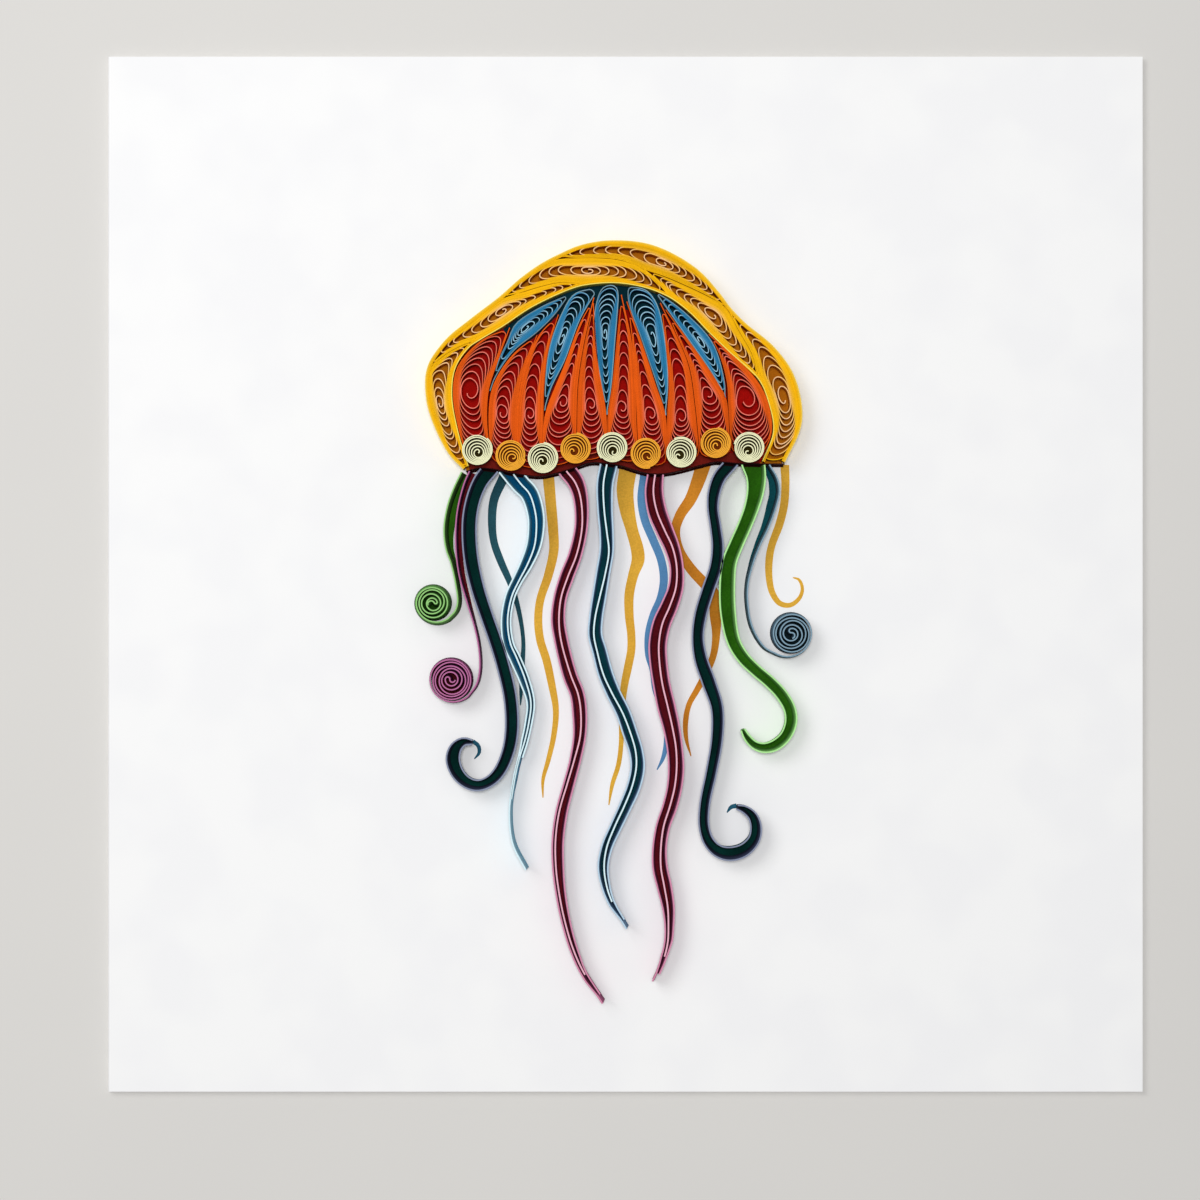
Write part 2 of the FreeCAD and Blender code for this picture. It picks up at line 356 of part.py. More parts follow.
class Cell:
    """Closed field between two edges that run from one tip, filled by one rolled strip."""

    SAMPLES = 81

    def __init__(self, tip, first, second, eye):
        self.first = flat(smooth([tip] + list(first), self.SAMPLES))
        self.second = flat(smooth([tip] + list(second), self.SAMPLES))
        self.middle = [(a + b) * 0.5 for a, b in zip(self.first, self.second)]
        self.length = route_length(self.middle)
        target = FreeCAD.Vector(eye[0], eye[1], 0)
        nearest = min(range(self.SAMPLES), key=lambda i: (self.middle[i] - target).Length)
        self.eye = nearest / (self.SAMPLES - 1)

    def across(self, share):
        """The two edge points at a share of the way along the field."""
        place = min(max(share, 0), 1) * (self.SAMPLES - 1)
        low = min(int(place), self.SAMPLES - 2)
        rest = place - low
        first = self.first[low] * (1 - rest) + self.first[low + 1] * rest
        second = self.second[low] * (1 - rest) + self.second[low + 1] * rest
        return first, second

    def half_width(self, share):
        """Half the distance between the edges."""
        first, second = self.across(share)
        return (second - first).Length / 2

    def tip_share(self, places, room):
        """Share, along a run of sample places, where half the width first reaches a room."""
        before = places[0]
        for place in places[1:]:
            narrow = self.half_width(before / (self.SAMPLES - 1))
            wide = self.half_width(place / (self.SAMPLES - 1))
            if wide >= room:
                step = max(room - narrow, 0) / (wide - narrow) if wide > narrow else 0
                return (before + (place - before) * step) / (self.SAMPLES - 1)
            before = place
        return self.eye

    def limits(self, inset):
        """First and last share where a turn at this inset from the edges still fits."""
        room = inset + TIP_ROOM
        start = self.tip_share(range(self.SAMPLES), room)
        end = self.tip_share(range(self.SAMPLES - 1, -1, -1), room)
        margin = inset / self.length
        return max(start, margin), min(end, 1 - margin)

    def coil(self, turns, facets):
        """Centre line of the rolled strip, from the outside to its eye."""
        outer_inset = GLUE_GAP / 2 + BELL_PAPER / 2
        widest = self.half_width(self.eye)
        side_pitch = (widest - outer_inset - EYE_RADIUS) / turns
        last_start, last_end = self.limits(outer_inset + turns * side_pitch)
        eye_reach = EYE_RADIUS / self.length
        start_draw = self.eye - eye_reach - last_start
        end_draw = last_end - self.eye - eye_reach
        points = []
        steps = round(turns * facets)
        for step in range(steps + 1):
            turn = step / facets
            angle = 2 * math.pi * (turn + 0.5 / facets)
            inset = outer_inset + turn * side_pitch
            start, end = self.limits(inset)
            start += start_draw * turn / turns
            end -= end_draw * turn / turns
            share = (start + end) / 2 - (end - start) / 2 * math.cos(angle)
            rounding = FIRST_ROUNDING + (1 - FIRST_ROUNDING) * turn / turns
            swell = math.copysign(abs(math.sin(angle)) ** rounding, math.sin(angle))
            first, second = self.across(share)
            half = (second - first).Length / 2
            across = (half - inset) * swell
            side = second - first
            side.normalize()
            points.append((first + second) * 0.5 + side * across)
        return points


def coil_strip(cell):
    """Rolled strip that fills a field of the bell."""
    line = Cell(*cell).coil(BELL_TURNS, COIL_FACETS)
    return strip(line, BELL_PAPER, INK_TOP, STRIP_HEIGHT)


def spiral(middle, start, sweep, turns, eye, facets):
    """Round spiral from an outer point in to its eye."""
    outward = start - middle
    angle = math.atan2(outward.y, outward.x)
    radius = outward.Length
    points = []
    for step in range(1, round(turns * facets) + 1):
        share = step / (turns * facets)
        turned = angle + sweep * 2 * math.pi * turns * share
        reach = radius + (eye - radius) * share
        points.append(middle + FreeCAD.Vector(math.cos(turned), math.sin(turned), 0) * reach)
    return points


def bead(x, y):
    """Round bead rolled from one strip."""
    middle = FreeCAD.Vector(x, y, 0)
    start = middle + FreeCAD.Vector(0, BEAD_RADIUS - BELL_PAPER / 2, 0)
    line = [start] + spiral(middle, start, 1, BEAD_TURNS, BEAD_EYE, BEAD_FACETS)
    return strip(line, BELL_PAPER, STRIP_TOP, BEAD_HEIGHT)


def hem_height(x):
    """Height of the hem strip's lower side at a place along it."""
    for left, right in zip(HEM, HEM[1:]):
        if left[0] <= x <= right[0]:
            share = (x - left[0]) / (right[0] - left[0])
            return left[1] + share * (right[1] - left[1]) - BELL_PAPER / 2
    end = HEM[0] if x < HEM[0][0] else HEM[-1]
    return end[1] - BELL_PAPER / 2


def below_hem(points, clearance):
    """The part of a route that lies under the hem, from its first clear point."""
    for index, point in enumerate(points):
        if point.y < hem_height(point.x) - clearance:
            break
    if index == 0:
        return points
    above = points[index - 1]
    first = points[index]
    while (first - above).Length > HEM_STEP:
        half_way = (first + above) * 0.5
        if half_way.y < hem_height(half_way.x) - clearance:
            first = half_way
        else:
            above = half_way
    return [first] + points[index:]


def bow(stop, first, last):
    """How far a station lies from the straight piece between two others, in place or in width."""
    run = last[0] - first[0]
    share = (stop[0] - first[0]).dot(run) / run.dot(run)
    off = (first[0] + run * share - stop[0]).Length
    drift = [abs(a + (b - a) * share - w) for w, a, b in zip(stop[1], first[1], last[1])]
    return max([off] + drift)


def thinned(stops, sag):
    """Fewest stations whose straight pieces stay within a sag of all of them."""
    bows = [bow(stop, stops[0], stops[-1]) for stop in stops[1:-1]]
    if not bows or max(bows) < sag:
        return [stops[0], stops[-1]]
    split = bows.index(max(bows)) + 1
    return thinned(stops[:split + 1], sag) + thinned(stops[split:], sag)[1:]


def stations(route, sag=FACET_SAG):
    """Points along a route, closer together where it bends, and the widths at each of them."""
    curve = Part.BSplineCurve()
    curve.interpolate([FreeCAD.Vector(r[0], r[1], 0) for r in route])
    knots = curve.getKnots()
    stops = []
    for point in curve.discretize(ROUTE_SAMPLES):
        place = curve.parameter(point)
        span = max(i for i in range(len(knots) - 1) if knots[i] <= place or i == 0)
        share = (place - knots[span]) / (knots[span + 1] - knots[span])
        widths = [a + (b - a) * share for a, b in zip(route[span][2:], route[span + 1][2:])]
        stops.append((point, widths))
    kept = thinned(stops, sag)
    return [stop[0] for stop in kept], [stop[1] for stop in kept]


def tentacle_lines(route):
    """Routes of a tentacle's strips: left, right and, where there are three, middle."""
    points, widths = stations(route)
    strips = 3 if len(route[0]) > 3 else 2
    least = (TENTACLE_PAPER + GLUE_GAP) * (strips - 1) / 2
    left = [max(w[0], least) for w in widths]
    right = [-max(w[-1], least) for w in widths]
    lines = [beside(points, left), beside(points, right)]
    if strips == 3:
        lines.append(points)
    return [below_hem(line, GLUE_GAP + TENTACLE_PAPER / 2) for line in lines]


def tentacle_strip(line):
    """One strip of a tentacle."""
    return strip(line, TENTACLE_PAPER, INK_TOP, STRIP_HEIGHT)


def rolled_line(route, middle, sweep, turns):
    """Route of a one-strip tentacle, with its rolled end."""
    line = below_hem(stations(route)[0], GLUE_GAP + TENTACLE_PAPER / 2)
    centre = FreeCAD.Vector(middle[0], middle[1], 0)
    return line + spiral(centre, line[-1], sweep, turns, ROLL_EYE, ROLL_FACETS)


def ribbon(route):
    """Printed ribbon along a route with a half width at each point."""
    points, widths = stations(route, PRINT_SAG)
    left = below_hem(beside(points, [w[0] for w in widths]), 0)
    right = below_hem(beside(points, [-w[0] for w in widths]), 0)
    return prism(left + right[::-1], CARD_TOP, INK)


def print_between(left, right):
    """Printed ground of a tentacle, out to just past its outer strips."""
    outer_left = beside(left, [PRINT_MARGIN] * len(left))
    outer_right = beside(right, [-PRINT_MARGIN] * len(right))
    return prism(outer_left + outer_right[::-1], CARD_TOP, INK)


def print_band(route, widths, side):
    """Printed band beside a one-strip tentacle, which narrows to nothing."""
    points = below_hem(stations(route)[0], GLUE_GAP)
    reach = points[:max(3, round(len(points) * BAND_SHARE))]
    sizes = []
    for index in range(len(reach)):
        place = index / (len(reach) - 1) * (len(widths) - 1)
        low = min(int(place), len(widths) - 2)
        sizes.append(widths[low] + (widths[low + 1] - widths[low]) * (place - low))
    back = beside(reach, [-side * PRINT_MARGIN] * len(reach))
    front = beside(reach, [side * (size + PRINT_MARGIN) for size in sizes])
    return prism(back + front[::-1], CARD_TOP, INK)


def bell_ground():
    """Printed grounds of the bell: under the rim, under the teardrops and under the petals."""
    outer = OUTER_LEFT + OUTER_SHOULDER + OUTER_RISE + OUTER_CROWN + OUTER_RIGHT
    arch = ARCH_LEFT + ARCH_RISE + ARCH_TOP + ARCH_FALL + ARCH_RIGHT
    outer_line = flat(smooth(outer, OUTER_FACETS))
    arch_line = flat(smooth(arch, ARCH_FACETS))
    hem_line = flat(smooth(HEM, HEM_FACETS))
    whole = prism(outer_line + hem_line[::-1], CARD_TOP, INK)
    inside = prism(arch_line + hem_line[::-1][1:-1], CARD_TOP, INK)
    drops = []
    for tip, left, right, _ in TEARDROP_CELLS:
        up = flat(smooth([tip] + list(left), DROP_FACETS))
        down = flat(smooth([tip] + list(right), DROP_FACETS))
        drops.append(prism(up + down[:0:-1], CARD_TOP, INK))
    rim = whole.cut(inside)
    teardrops = Part.makeCompound([d.common(inside) for d in drops])
    petals = inside.cut(teardrops)
    return rim, teardrops, petals


def solids_of(*shapes):
    """One shape of all the solids in the given ones."""
    solids = [s for shape in shapes for s in shape.Solids if s.Volume > LEAST_VOLUME]
    return solids[0] if len(solids) == 1 else Part.makeCompound(solids)


def export(name, shape):
    """Write one sub-part."""
    shape.exportStep(os.path.join("parts", name + ".step"))


def build_bell():
    """Coils of the bell, its hem and its beads."""
    groups = (("rim_coil", RIM_CELLS), ("teardrop_coil", TEARDROP_CELLS), ("petal_coil", PETAL_CELLS))
    for name, cells in groups:
        for number, cell in enumerate(cells, 1):
            export(f"{name}_{number:02d}", coil_strip(cell))
    hem_line = flat(smooth(HEM, HEM_FACETS))
    export("hem_strip", strip(hem_line, BELL_PAPER, INK_TOP, STRIP_HEIGHT))
    for number, (x, y) in enumerate(BEADS, 1):
        colour = "cream" if number % 2 else "orange"
        export(f"{colour}_bead_{number:02d}", bead(x, y))


def build_tentacles():
    """Strips of the tentacles, and the printed ground of each one that has two or three."""
    for name, (route, middle, sweep, turns) in ROLLED_TENTACLES.items():
        export(name, tentacle_strip(rolled_line(route, middle, sweep, turns)))
    grounds = {}
    for name, route in FLAT_TENTACLES.items():
        lines = tentacle_lines(route)
        for letter, line in zip("abc", lines):
            export(f"{name}_{letter}", tentacle_strip(line))
        grounds[name] = print_between(lines[0], lines[1])
    return grounds


def build_prints(grounds):
    """Printed grounds and ribbons, one sub-part for each colour."""
    rim, teardrops, petals = bell_ground()
    green_band = print_band(GREEN_ROLL, GREEN_BAND, 1)
    mauve_band = print_band(MAUVE_ROLL, MAUVE_BAND, 1)
    blue_band = print_band(BLUE_ROLL, BLUE_BAND, -1)
    teal_3, teal_8 = grounds["tentacle_03_teal"], grounds["tentacle_08_teal"]
    teal_6, blue_4 = grounds["tentacle_06_teal"], grounds["tentacle_04_blue"]
    maroon_5, maroon_7 = grounds["tentacle_05_maroon"], grounds["tentacle_07_maroon"]
    green_9 = grounds["tentacle_09_green"]
    tails = [ribbon(t) for t in TEAL_TAILS]
    yellow = [ribbon(r) for r in YELLOW_RIBBONS]
    orange = ribbon(ORANGE_RIBBON).cut(teal_8).cut(maroon_7).cut(green_9)
    sky = ribbon(SKY_RIBBON).cut(maroon_7)
    teal_ribbon = ribbon(TEAL_RIBBON).cut(blue_4).cut(teal_3)
    tails = [tails[0].cut(teal_3), tails[1].cut(teal_8)]
    export("yellow_print", solids_of(*[y.cut(teal_6).cut(blue_band) for y in yellow]))
    export("orange_print", solids_of(rim, orange))
    export("sky_print", solids_of(sky))
    export("teal_print", solids_of(teardrops, teal_3, teal_6, teal_8, teal_ribbon, *tails))
    export("blue_print", solids_of(blue_4, blue_band))
    export("maroon_print", solids_of(petals, maroon_5, maroon_7, mauve_band.cut(teal_3).cut(green_band)))
    export("green_print", solids_of(green_band, green_9.cut(teal_8)))


export("card", folded_card())
build_bell()
build_prints(build_tentacles())
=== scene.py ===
"""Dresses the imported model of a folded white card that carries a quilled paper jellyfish.

Lengths in this file are millimetres in the card's own frame: +X right, +Y up, +Z out of the front.
They become metres where a mesh is made.
"""
from __future__ import annotations

import logging
import math
import random
from dataclasses import dataclass, field
from enum import Enum
from typing import Iterable, Sequence

import bmesh
import bpy
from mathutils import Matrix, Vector

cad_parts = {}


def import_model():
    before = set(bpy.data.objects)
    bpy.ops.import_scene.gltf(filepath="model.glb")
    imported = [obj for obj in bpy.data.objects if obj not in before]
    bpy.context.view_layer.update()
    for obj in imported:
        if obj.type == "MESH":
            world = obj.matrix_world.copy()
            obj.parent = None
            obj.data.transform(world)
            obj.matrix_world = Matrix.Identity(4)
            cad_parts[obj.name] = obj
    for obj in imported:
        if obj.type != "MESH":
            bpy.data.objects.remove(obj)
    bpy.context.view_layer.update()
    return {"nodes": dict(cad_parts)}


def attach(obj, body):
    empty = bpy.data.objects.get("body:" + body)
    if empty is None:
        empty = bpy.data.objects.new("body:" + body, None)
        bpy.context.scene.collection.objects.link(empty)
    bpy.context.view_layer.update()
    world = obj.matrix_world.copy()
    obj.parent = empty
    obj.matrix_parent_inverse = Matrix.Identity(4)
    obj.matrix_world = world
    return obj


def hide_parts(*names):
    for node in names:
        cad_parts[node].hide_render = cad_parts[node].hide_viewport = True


LOG = logging.getLogger("quilled_card")
MM = 0.001

# Heights of the layers, and the paper that stands on them
CARD_TOP = 1.05
INK_TOP = 1.10
STRIP_HEIGHT = 3.2
STRIP_TOP = INK_TOP + STRIP_HEIGHT
BELL_PAPER = 0.13
TENTACLE_PAPER = 0.22
GLUE_GAP = 0.06

Point = tuple[float, ...]
Line = list[Point]
# What feeds a node's input: another node's socket, a number or a colour
Feed = bpy.types.NodeSocket | float | tuple[float, ...]

# Bell outline, clockwise from the bottom left, in the spans that its rim coils share
OUTER_LEFT = [(-23.6, 15.4), (-25.6, 17.5), (-27.6, 21.2), (-28.8, 24.7), (-29.1, 28.1), (-28.9, 29.7)]
OUTER_SHOULDER = [(-28.4, 31.1), (-26.0, 34.3), (-22.6, 37.1), (-18.3, 40.4)]
OUTER_RISE = [(-15.1, 43.2), (-12.1, 45.3), (-9.6, 46.6)]
OUTER_CROWN = [(-6.5, 47.9), (-2.0, 48.6), (4.0, 47.9), (10.2, 44.6), (13.7, 40.9), (15.2, 38.9)]
OUTER_RIGHT = [(17.4, 36.6), (21.5, 33.2), (24.3, 29.4), (25.6, 24.9), (25.5, 21.5), (23.2, 16.4)]

# Arch between the rim and the petals, from the bottom left
ARCH_LEFT = [(-22.9, 15.8), (-24.5, 21.2), (-25.3, 26.1), (-24.8, 30.1), (-22.9, 33.0), (-21.2, 34.2)]
ARCH_RISE = [(-18.0, 36.1), (-13.6, 39.0), (-8.0, 41.6), (-5.8, 42.2)]
ARCH_TOP = [(-1.3, 42.5), (3.3, 41.7), (6.6, 40.3)]
ARCH_FALL = [(9.5, 38.1), (12.3, 35.2), (15.1, 32.5), (19.4, 28.5)]
ARCH_RIGHT = [(20.8, 25.4), (21.6, 20.9), (20.0, 16.5)]

OUTLINE = OUTER_LEFT + OUTER_SHOULDER + OUTER_RISE + OUTER_CROWN + OUTER_RIGHT
ARCH = ARCH_LEFT + ARCH_RISE + ARCH_TOP + ARCH_FALL + ARCH_RIGHT

# Seams between neighbouring rim coils
SEAM_CROWN = [(-7.4, 46.2), (-3.7, 46.2), (-0.4, 45.8), (2.7, 44.5)]
SEAM_DIVE = [(5.2, 43.7), (8.1, 42.5), (12.5, 40.4), (14.6, 39.1)]
SEAM_NOTCH = [(4.0, 43.4), (5.5, 41.9), (6.6, 40.5)]
SEAM_RISE = [(-15.1, 41.2), (-12.1, 42.1), (-9.6, 42.6), (-5.9, 42.4)]
SEAM_SHOULDER = [(-27.2, 31.4), (-25.5, 32.6), (-23.4, 33.6), (-21.3, 34.3)]
SEAM_RIGHT = [(16.6, 35.6), (18.5, 32.2), (19.5, 28.8)]

# Each rim coil: first tip, one edge, other edge, eye
RIM_CELLS = [
    ((-12.2, 45.35), [(-9.6, 46.7)] + OUTER_CROWN, [(-9.5, 46.35)] + SEAM_CROWN + SEAM_DIVE, (5.4, 45.5)),
    ((-19.6, 39.4), [(-18.0, 40.75)] + OUTER_RISE[:2] + [(-9.7, 46.1)] + SEAM_CROWN + SEAM_NOTCH,
     [(-17.8, 40.3)] + SEAM_RISE + ARCH_TOP, (-5.4, 44.6)),
    ((-28.7, 29.9), OUTER_SHOULDER + SEAM_RISE, SEAM_SHOULDER + ARCH_RISE, (-17.8, 38.1)),
    ((-21.3, 34.3), SEAM_SHOULDER[-2::-1] + OUTER_LEFT[::-1], ARCH_LEFT[-2::-1], (-27.1, 25.0)),
    ((2.7, 44.5), SEAM_DIVE + SEAM_RIGHT, SEAM_NOTCH + ARCH_FALL, (12.9, 38.0)),
    ((14.8, 39.1), OUTER_RIGHT[:-1] + [(23.1, 16.25)], SEAM_RIGHT + ARCH_RIGHT[:-1] + [(20.0, 16.25)],
     (23.0, 25.7)),
]

# Each teardrop: lower tip, left edge, right edge, eye
TEARDROP_CELLS = [
    ((-19.8, 26.8), [(-18.7, 31.2), (-17.4, 34.0), (-16.2, 36.6), (-12.5, 39.1), (-8.4, 40.9)],
     [(-18.6, 29.3), (-16.2, 32.6), (-12.8, 35.3), (-10.2, 37.9), (-8.4, 40.4)], (-14.4, 35.7)),
    ((-11.8, 23.9), [(-11.9, 27.0), (-11.2, 33.2), (-9.3, 38.4), (-7.6, 41.0), (-4.6, 41.9)],
     [(-10.7, 27.3), (-8.8, 31.1), (-6.5, 37.2), (-4.1, 41.3)], (-9.0, 34.5)),
    ((-2.7, 23.3), [(-3.5, 27.0), (-4.5, 33.2), (-4.7, 37.2), (-4.4, 39.6), (-3.6, 41.6), (-2.5, 42.3)],
     [(-2.0, 27.3), (-1.4, 34.1), (-1.0, 38.7), (-0.9, 40.8), (-1.2, 41.9), (-2.3, 42.35)], (-3.0, 35.2)),
    ((5.9, 23.2), [(4.5, 27.5), (2.2, 34.3), (0.3, 39.9), (0.4, 41.8), (1.4, 41.9)],
     [(6.3, 27.5), (6.0, 33.2), (4.8, 39.3), (3.4, 41.3), (1.8, 41.9)], (4.0, 34.7)),
    ((14.6, 25.8), [(12.4, 29.5), (8.4, 35.2), (5.9, 38.8), (4.3, 41.1)],
     [(14.6, 27.8), (12.9, 33.7), (9.3, 37.8), (6.4, 40.1), (4.6, 41.2)], (11.2, 34.2)),
]

# Seams between the petals, from the arch down to the hem
PETAL_SEAMS = [
    [(-16.7, 35.7), (-18.7, 31.0), (-20.0, 26.8), (-20.2, 21.9), (-19.7, 17.6), (-19.6, 15.9)],
    [(-12.7, 34.9), (-14.8, 29.8), (-15.8, 24.7), (-15.9, 19.1), (-15.8, 15.3)],
    [(-9.7, 37.8), (-11.3, 32.6), (-11.9, 27.0), (-12.0, 21.9), (-12.2, 15.1)],
    [(-4.5, 40.0), (-6.2, 33.2), (-7.0, 27.6), (-7.2, 20.5), (-7.4, 16.0)],
    [(-4.6, 37.2), (-3.9, 30.0), (-2.8, 23.2), (-2.8, 16.7)],
    [(-0.4, 40.6), (0.9, 33.9), (1.4, 27.6), (1.6, 21.9), (1.9, 15.7)],
    [(2.9, 32.3), (4.4, 27.7), (5.9, 23.0), (5.9, 15.4)],
    [(5.1, 39.3), (7.2, 35.3), (9.2, 30.4), (10.1, 24.7), (10.9, 16.4)],
    [(11.5, 30.9), (13.4, 28.0), (14.7, 25.7), (15.2, 20.5), (15.6, 16.9)],
]
# Each petal: top tip, left edge, right edge, eye. The edges end at the hem.
PETAL_CELLS = [
    ((-16.9, 36.0), [(-21.1, 34.15), (-24.6, 30.2), (-25.2, 26.15), (-24.4, 21.2), (-22.85, 16.1)],
     PETAL_SEAMS[0][1:], (-23.4, 26.7)),
    ((-12.9, 34.9), [(-16.3, 32.3), (-18.7, 29.0), (-19.7, 26.4), (-20.0, 21.9), (-19.4, 15.9)],
     PETAL_SEAMS[1][1:], (-18.1, 23.6)),
    ((-9.8, 37.9), [(-12.6, 35.0), (-14.8, 29.8), (-15.8, 24.7), (-15.8, 15.3)],
     PETAL_SEAMS[2][1:], (-13.6, 23.3)),
    ((-4.6, 40.4), [(-6.6, 36.8), (-8.9, 30.7), (-11.6, 23.9), (-12.0, 21.5), (-12.0, 15.1)],
     PETAL_SEAMS[3][1:], (-9.1, 25.1)),
    ((-4.7, 39.6), [(-6.1, 33.2), (-6.9, 27.6), (-7.1, 20.5), (-7.2, 16.0)],
     PETAL_SEAMS[4][1:], (-4.9, 24.7)),
    ((-0.6, 40.8), [(-1.3, 34.1), (-2.0, 27.3), (-2.6, 23.2), (-2.6, 16.7)],
     PETAL_SEAMS[5][1:], (-0.3, 24.2)),
    ((0.2, 39.8), [(0.9, 34.5), (1.4, 27.6), (1.7, 21.9), (2.0, 15.7)],
     PETAL_SEAMS[6], (3.5, 23.3)),
    ((5.1, 39.6), [(5.85, 33.2), (6.3, 27.5), (6.1, 23.2), (6.0, 15.4)],
     PETAL_SEAMS[7][1:], (8.1, 23.0)),
    ((5.9, 38.6), [(7.3, 35.3), (9.3, 30.4), (10.2, 24.7), (11.0, 16.4)],
     PETAL_SEAMS[8], (11.9, 26.3)),
    ((12.2, 35.0), [(13.7, 32.0), (14.8, 28.0), (15.0, 25.0), (15.3, 20.5), (15.7, 16.9)],
     [(15.4, 32.15), (19.0, 28.55), (20.7, 25.5), (21.4, 20.9), (19.9, 17.0)], (18.0, 25.6)),
]

# Wavy hem strip under the bell
HEM = [(-23.3, 15.0), (-21.4, 15.5), (-19.1, 15.3), (-16.2, 14.7), (-12.5, 14.3), (-10.3, 14.7),
       (-7.6, 15.5), (-5.0, 16.3), (-2.9, 16.2), (-0.5, 15.8), (1.4, 15.2), (3.4, 14.7), (5.9, 14.7),
       (8.4, 15.2), (11.0, 15.9), (13.3, 16.4), (16.2, 16.2), (20.6, 16.1), (23.3, 16.1)]

# Bead middles, cream and orange in turn from the left
BEADS = [(-21.6, 18.1), (-16.7, 17.3), (-12.05, 16.9), (-7.3, 18.3), (-1.9, 18.4), (3.0, 17.6),
         (8.1, 17.7), (13.1, 19.1), (18.0, 18.4)]

# Tentacles of one strip with a rolled end
GREEN_ROLL = [(-23.7, 14.9), (-24.9, 12.4), (-25.8, 9.8), (-26.3, 6.5), (-26.0, 3.7), (-25.3, 1.7),
              (-24.6, -1.4), (-24.3, -4.1), (-24.7, -5.5), (-25.8, -6.7)]
MAUVE_ROLL = [(-22.6, 15.2), (-23.5, 13.1), (-24.5, 8.9), (-24.7, 4.3), (-24.2, -0.1), (-23.0, -4.3),
              (-21.9, -7.9), (-21.3, -11.0), (-21.2, -14.0), (-21.7, -16.2), (-23.0, -18.0)]
BLUE_ROLL = [(20.9, 16.0), (22.1, 13.9), (22.4, 12.1), (21.9, 9.8), (20.8, 6.8), (19.6, 4.3),
             (18.6, 1.7), (17.8, -1.6), (17.8, -4.5), (18.5, -7.9), (20.3, -10.8), (22.3, -11.9)]

# Tentacles of two or three strips: x, y, distance to the left strip, distance to the right strip
TENTACLE_3 = [
    (-19.7, 15.4, 0.95), (-21.1, 13.6, 0.9), (-22.1, 11.3, 0.85), (-22.7, 8.5, 0.85), (-22.8, 5.5, 0.85),
    (-22.5, 2.1, 0.85), (-21.6, -2.0, 0.8), (-20.3, -6.0, 0.75), (-19.0, -9.7, 0.75), (-17.9, -13.3, 0.75),
    (-16.8, -18.2, 0.75), (-16.6, -22.9, 0.75), (-17.2, -26.2, 0.7), (-18.5, -29.0, 0.65),
    (-20.0, -30.4, 0.6), (-21.7, -30.9, 0.6), (-23.4, -30.3, 0.65), (-24.7, -28.8, 0.75),
    (-25.2, -26.9, 0.8), (-24.7, -25.3, 0.65), (-23.6, -24.5, 0.4), (-22.4, -24.6, 0.15)]
TENTACLE_8 = [
    (15.3, 16.0, 0.75), (13.8, 14.2, 0.75), (13.0, 12.0, 0.7), (12.8, 9.7, 0.6), (13.2, 6.8, 0.6),
    (13.5, 4.0, 0.65), (13.2, 1.0, 0.7), (12.0, -2.6, 0.7), (11.0, -6.0, 0.7), (10.6, -9.2, 0.65),
    (11.0, -12.3, 0.75), (12.2, -15.8, 0.8), (13.4, -19.6, 0.7), (13.4, -24.0, 0.65), (12.6, -28.8, 0.6),
    (11.6, -33.7, 0.55), (11.5, -36.8, 0.55), (12.2, -39.1, 0.6), (13.6, -40.5, 0.7), (15.4, -40.9, 0.8),
    (17.4, -40.3, 0.75), (18.8, -38.8, 0.65), (19.1, -37.0, 0.6), (18.6, -35.4, 0.5), (17.4, -34.4, 0.35),
    (16.4, -34.1, 0.15)]
TENTACLE_9 = [
    (18.6, 16.5, 1.5), (19.1, 14.2, 1.2), (19.0, 12.0, 1.0), (18.4, 9.6, 0.85), (17.4, 7.0, 0.8),
    (16.2, 4.3, 0.8), (15.2, 1.7, 0.85), (14.9, -1.3, 0.9), (15.0, -5.6, 0.9), (15.8, -9.8, 0.75),
    (17.2, -12.2, 0.7), (19.1, -14.1, 0.65), (21.1, -15.8, 0.65), (22.8, -17.6, 0.65), (24.0, -19.7, 0.65),
    (24.2, -21.7, 0.65), (23.4, -23.7, 0.6), (21.9, -25.0, 0.6), (20.3, -25.4, 0.5), (18.9, -25.0, 0.4),
    (17.8, -23.9, 0.3), (17.2, -22.8, 0.15)]
TENTACLE_4 = [
    (-16.6, 14.9, 1.1, 1.3), (-15.3, 13.2, 1.1, 1.2), (-14.0, 11.7, 1.1, 1.1), (-13.1, 8.7, 1.0, 1.0),
    (-13.0, 6.5, 0.9, 1.0), (-13.3, 4.0, 0.7, 1.0), (-14.3, 1.4, 0.5, 0.9), (-15.6, -1.1, 0.3, 0.75),
    (-16.6, -3.3, 0.25, 0.75), (-17.2, -6.7, 0.25, 0.75), (-16.8, -10.1, 0.25, 0.85),
    (-15.9, -12.2, 0.35, 0.85), (-14.6, -15.5, 0.4, 0.7), (-13.8, -18.8, 0.35, 0.4),
    (-14.1, -21.7, 0.3, 0.35), (-14.7, -24.4, 0.25, 0.3), (-15.6, -27.3, 0.2, 0.2),
    (-16.3, -30.6, 0.2, 0.2), (-16.8, -35.0, 0.2, 0.2), (-16.3, -39.4, 0.2, 0.2), (-14.4, -43.2, 0.2, 0.2)]
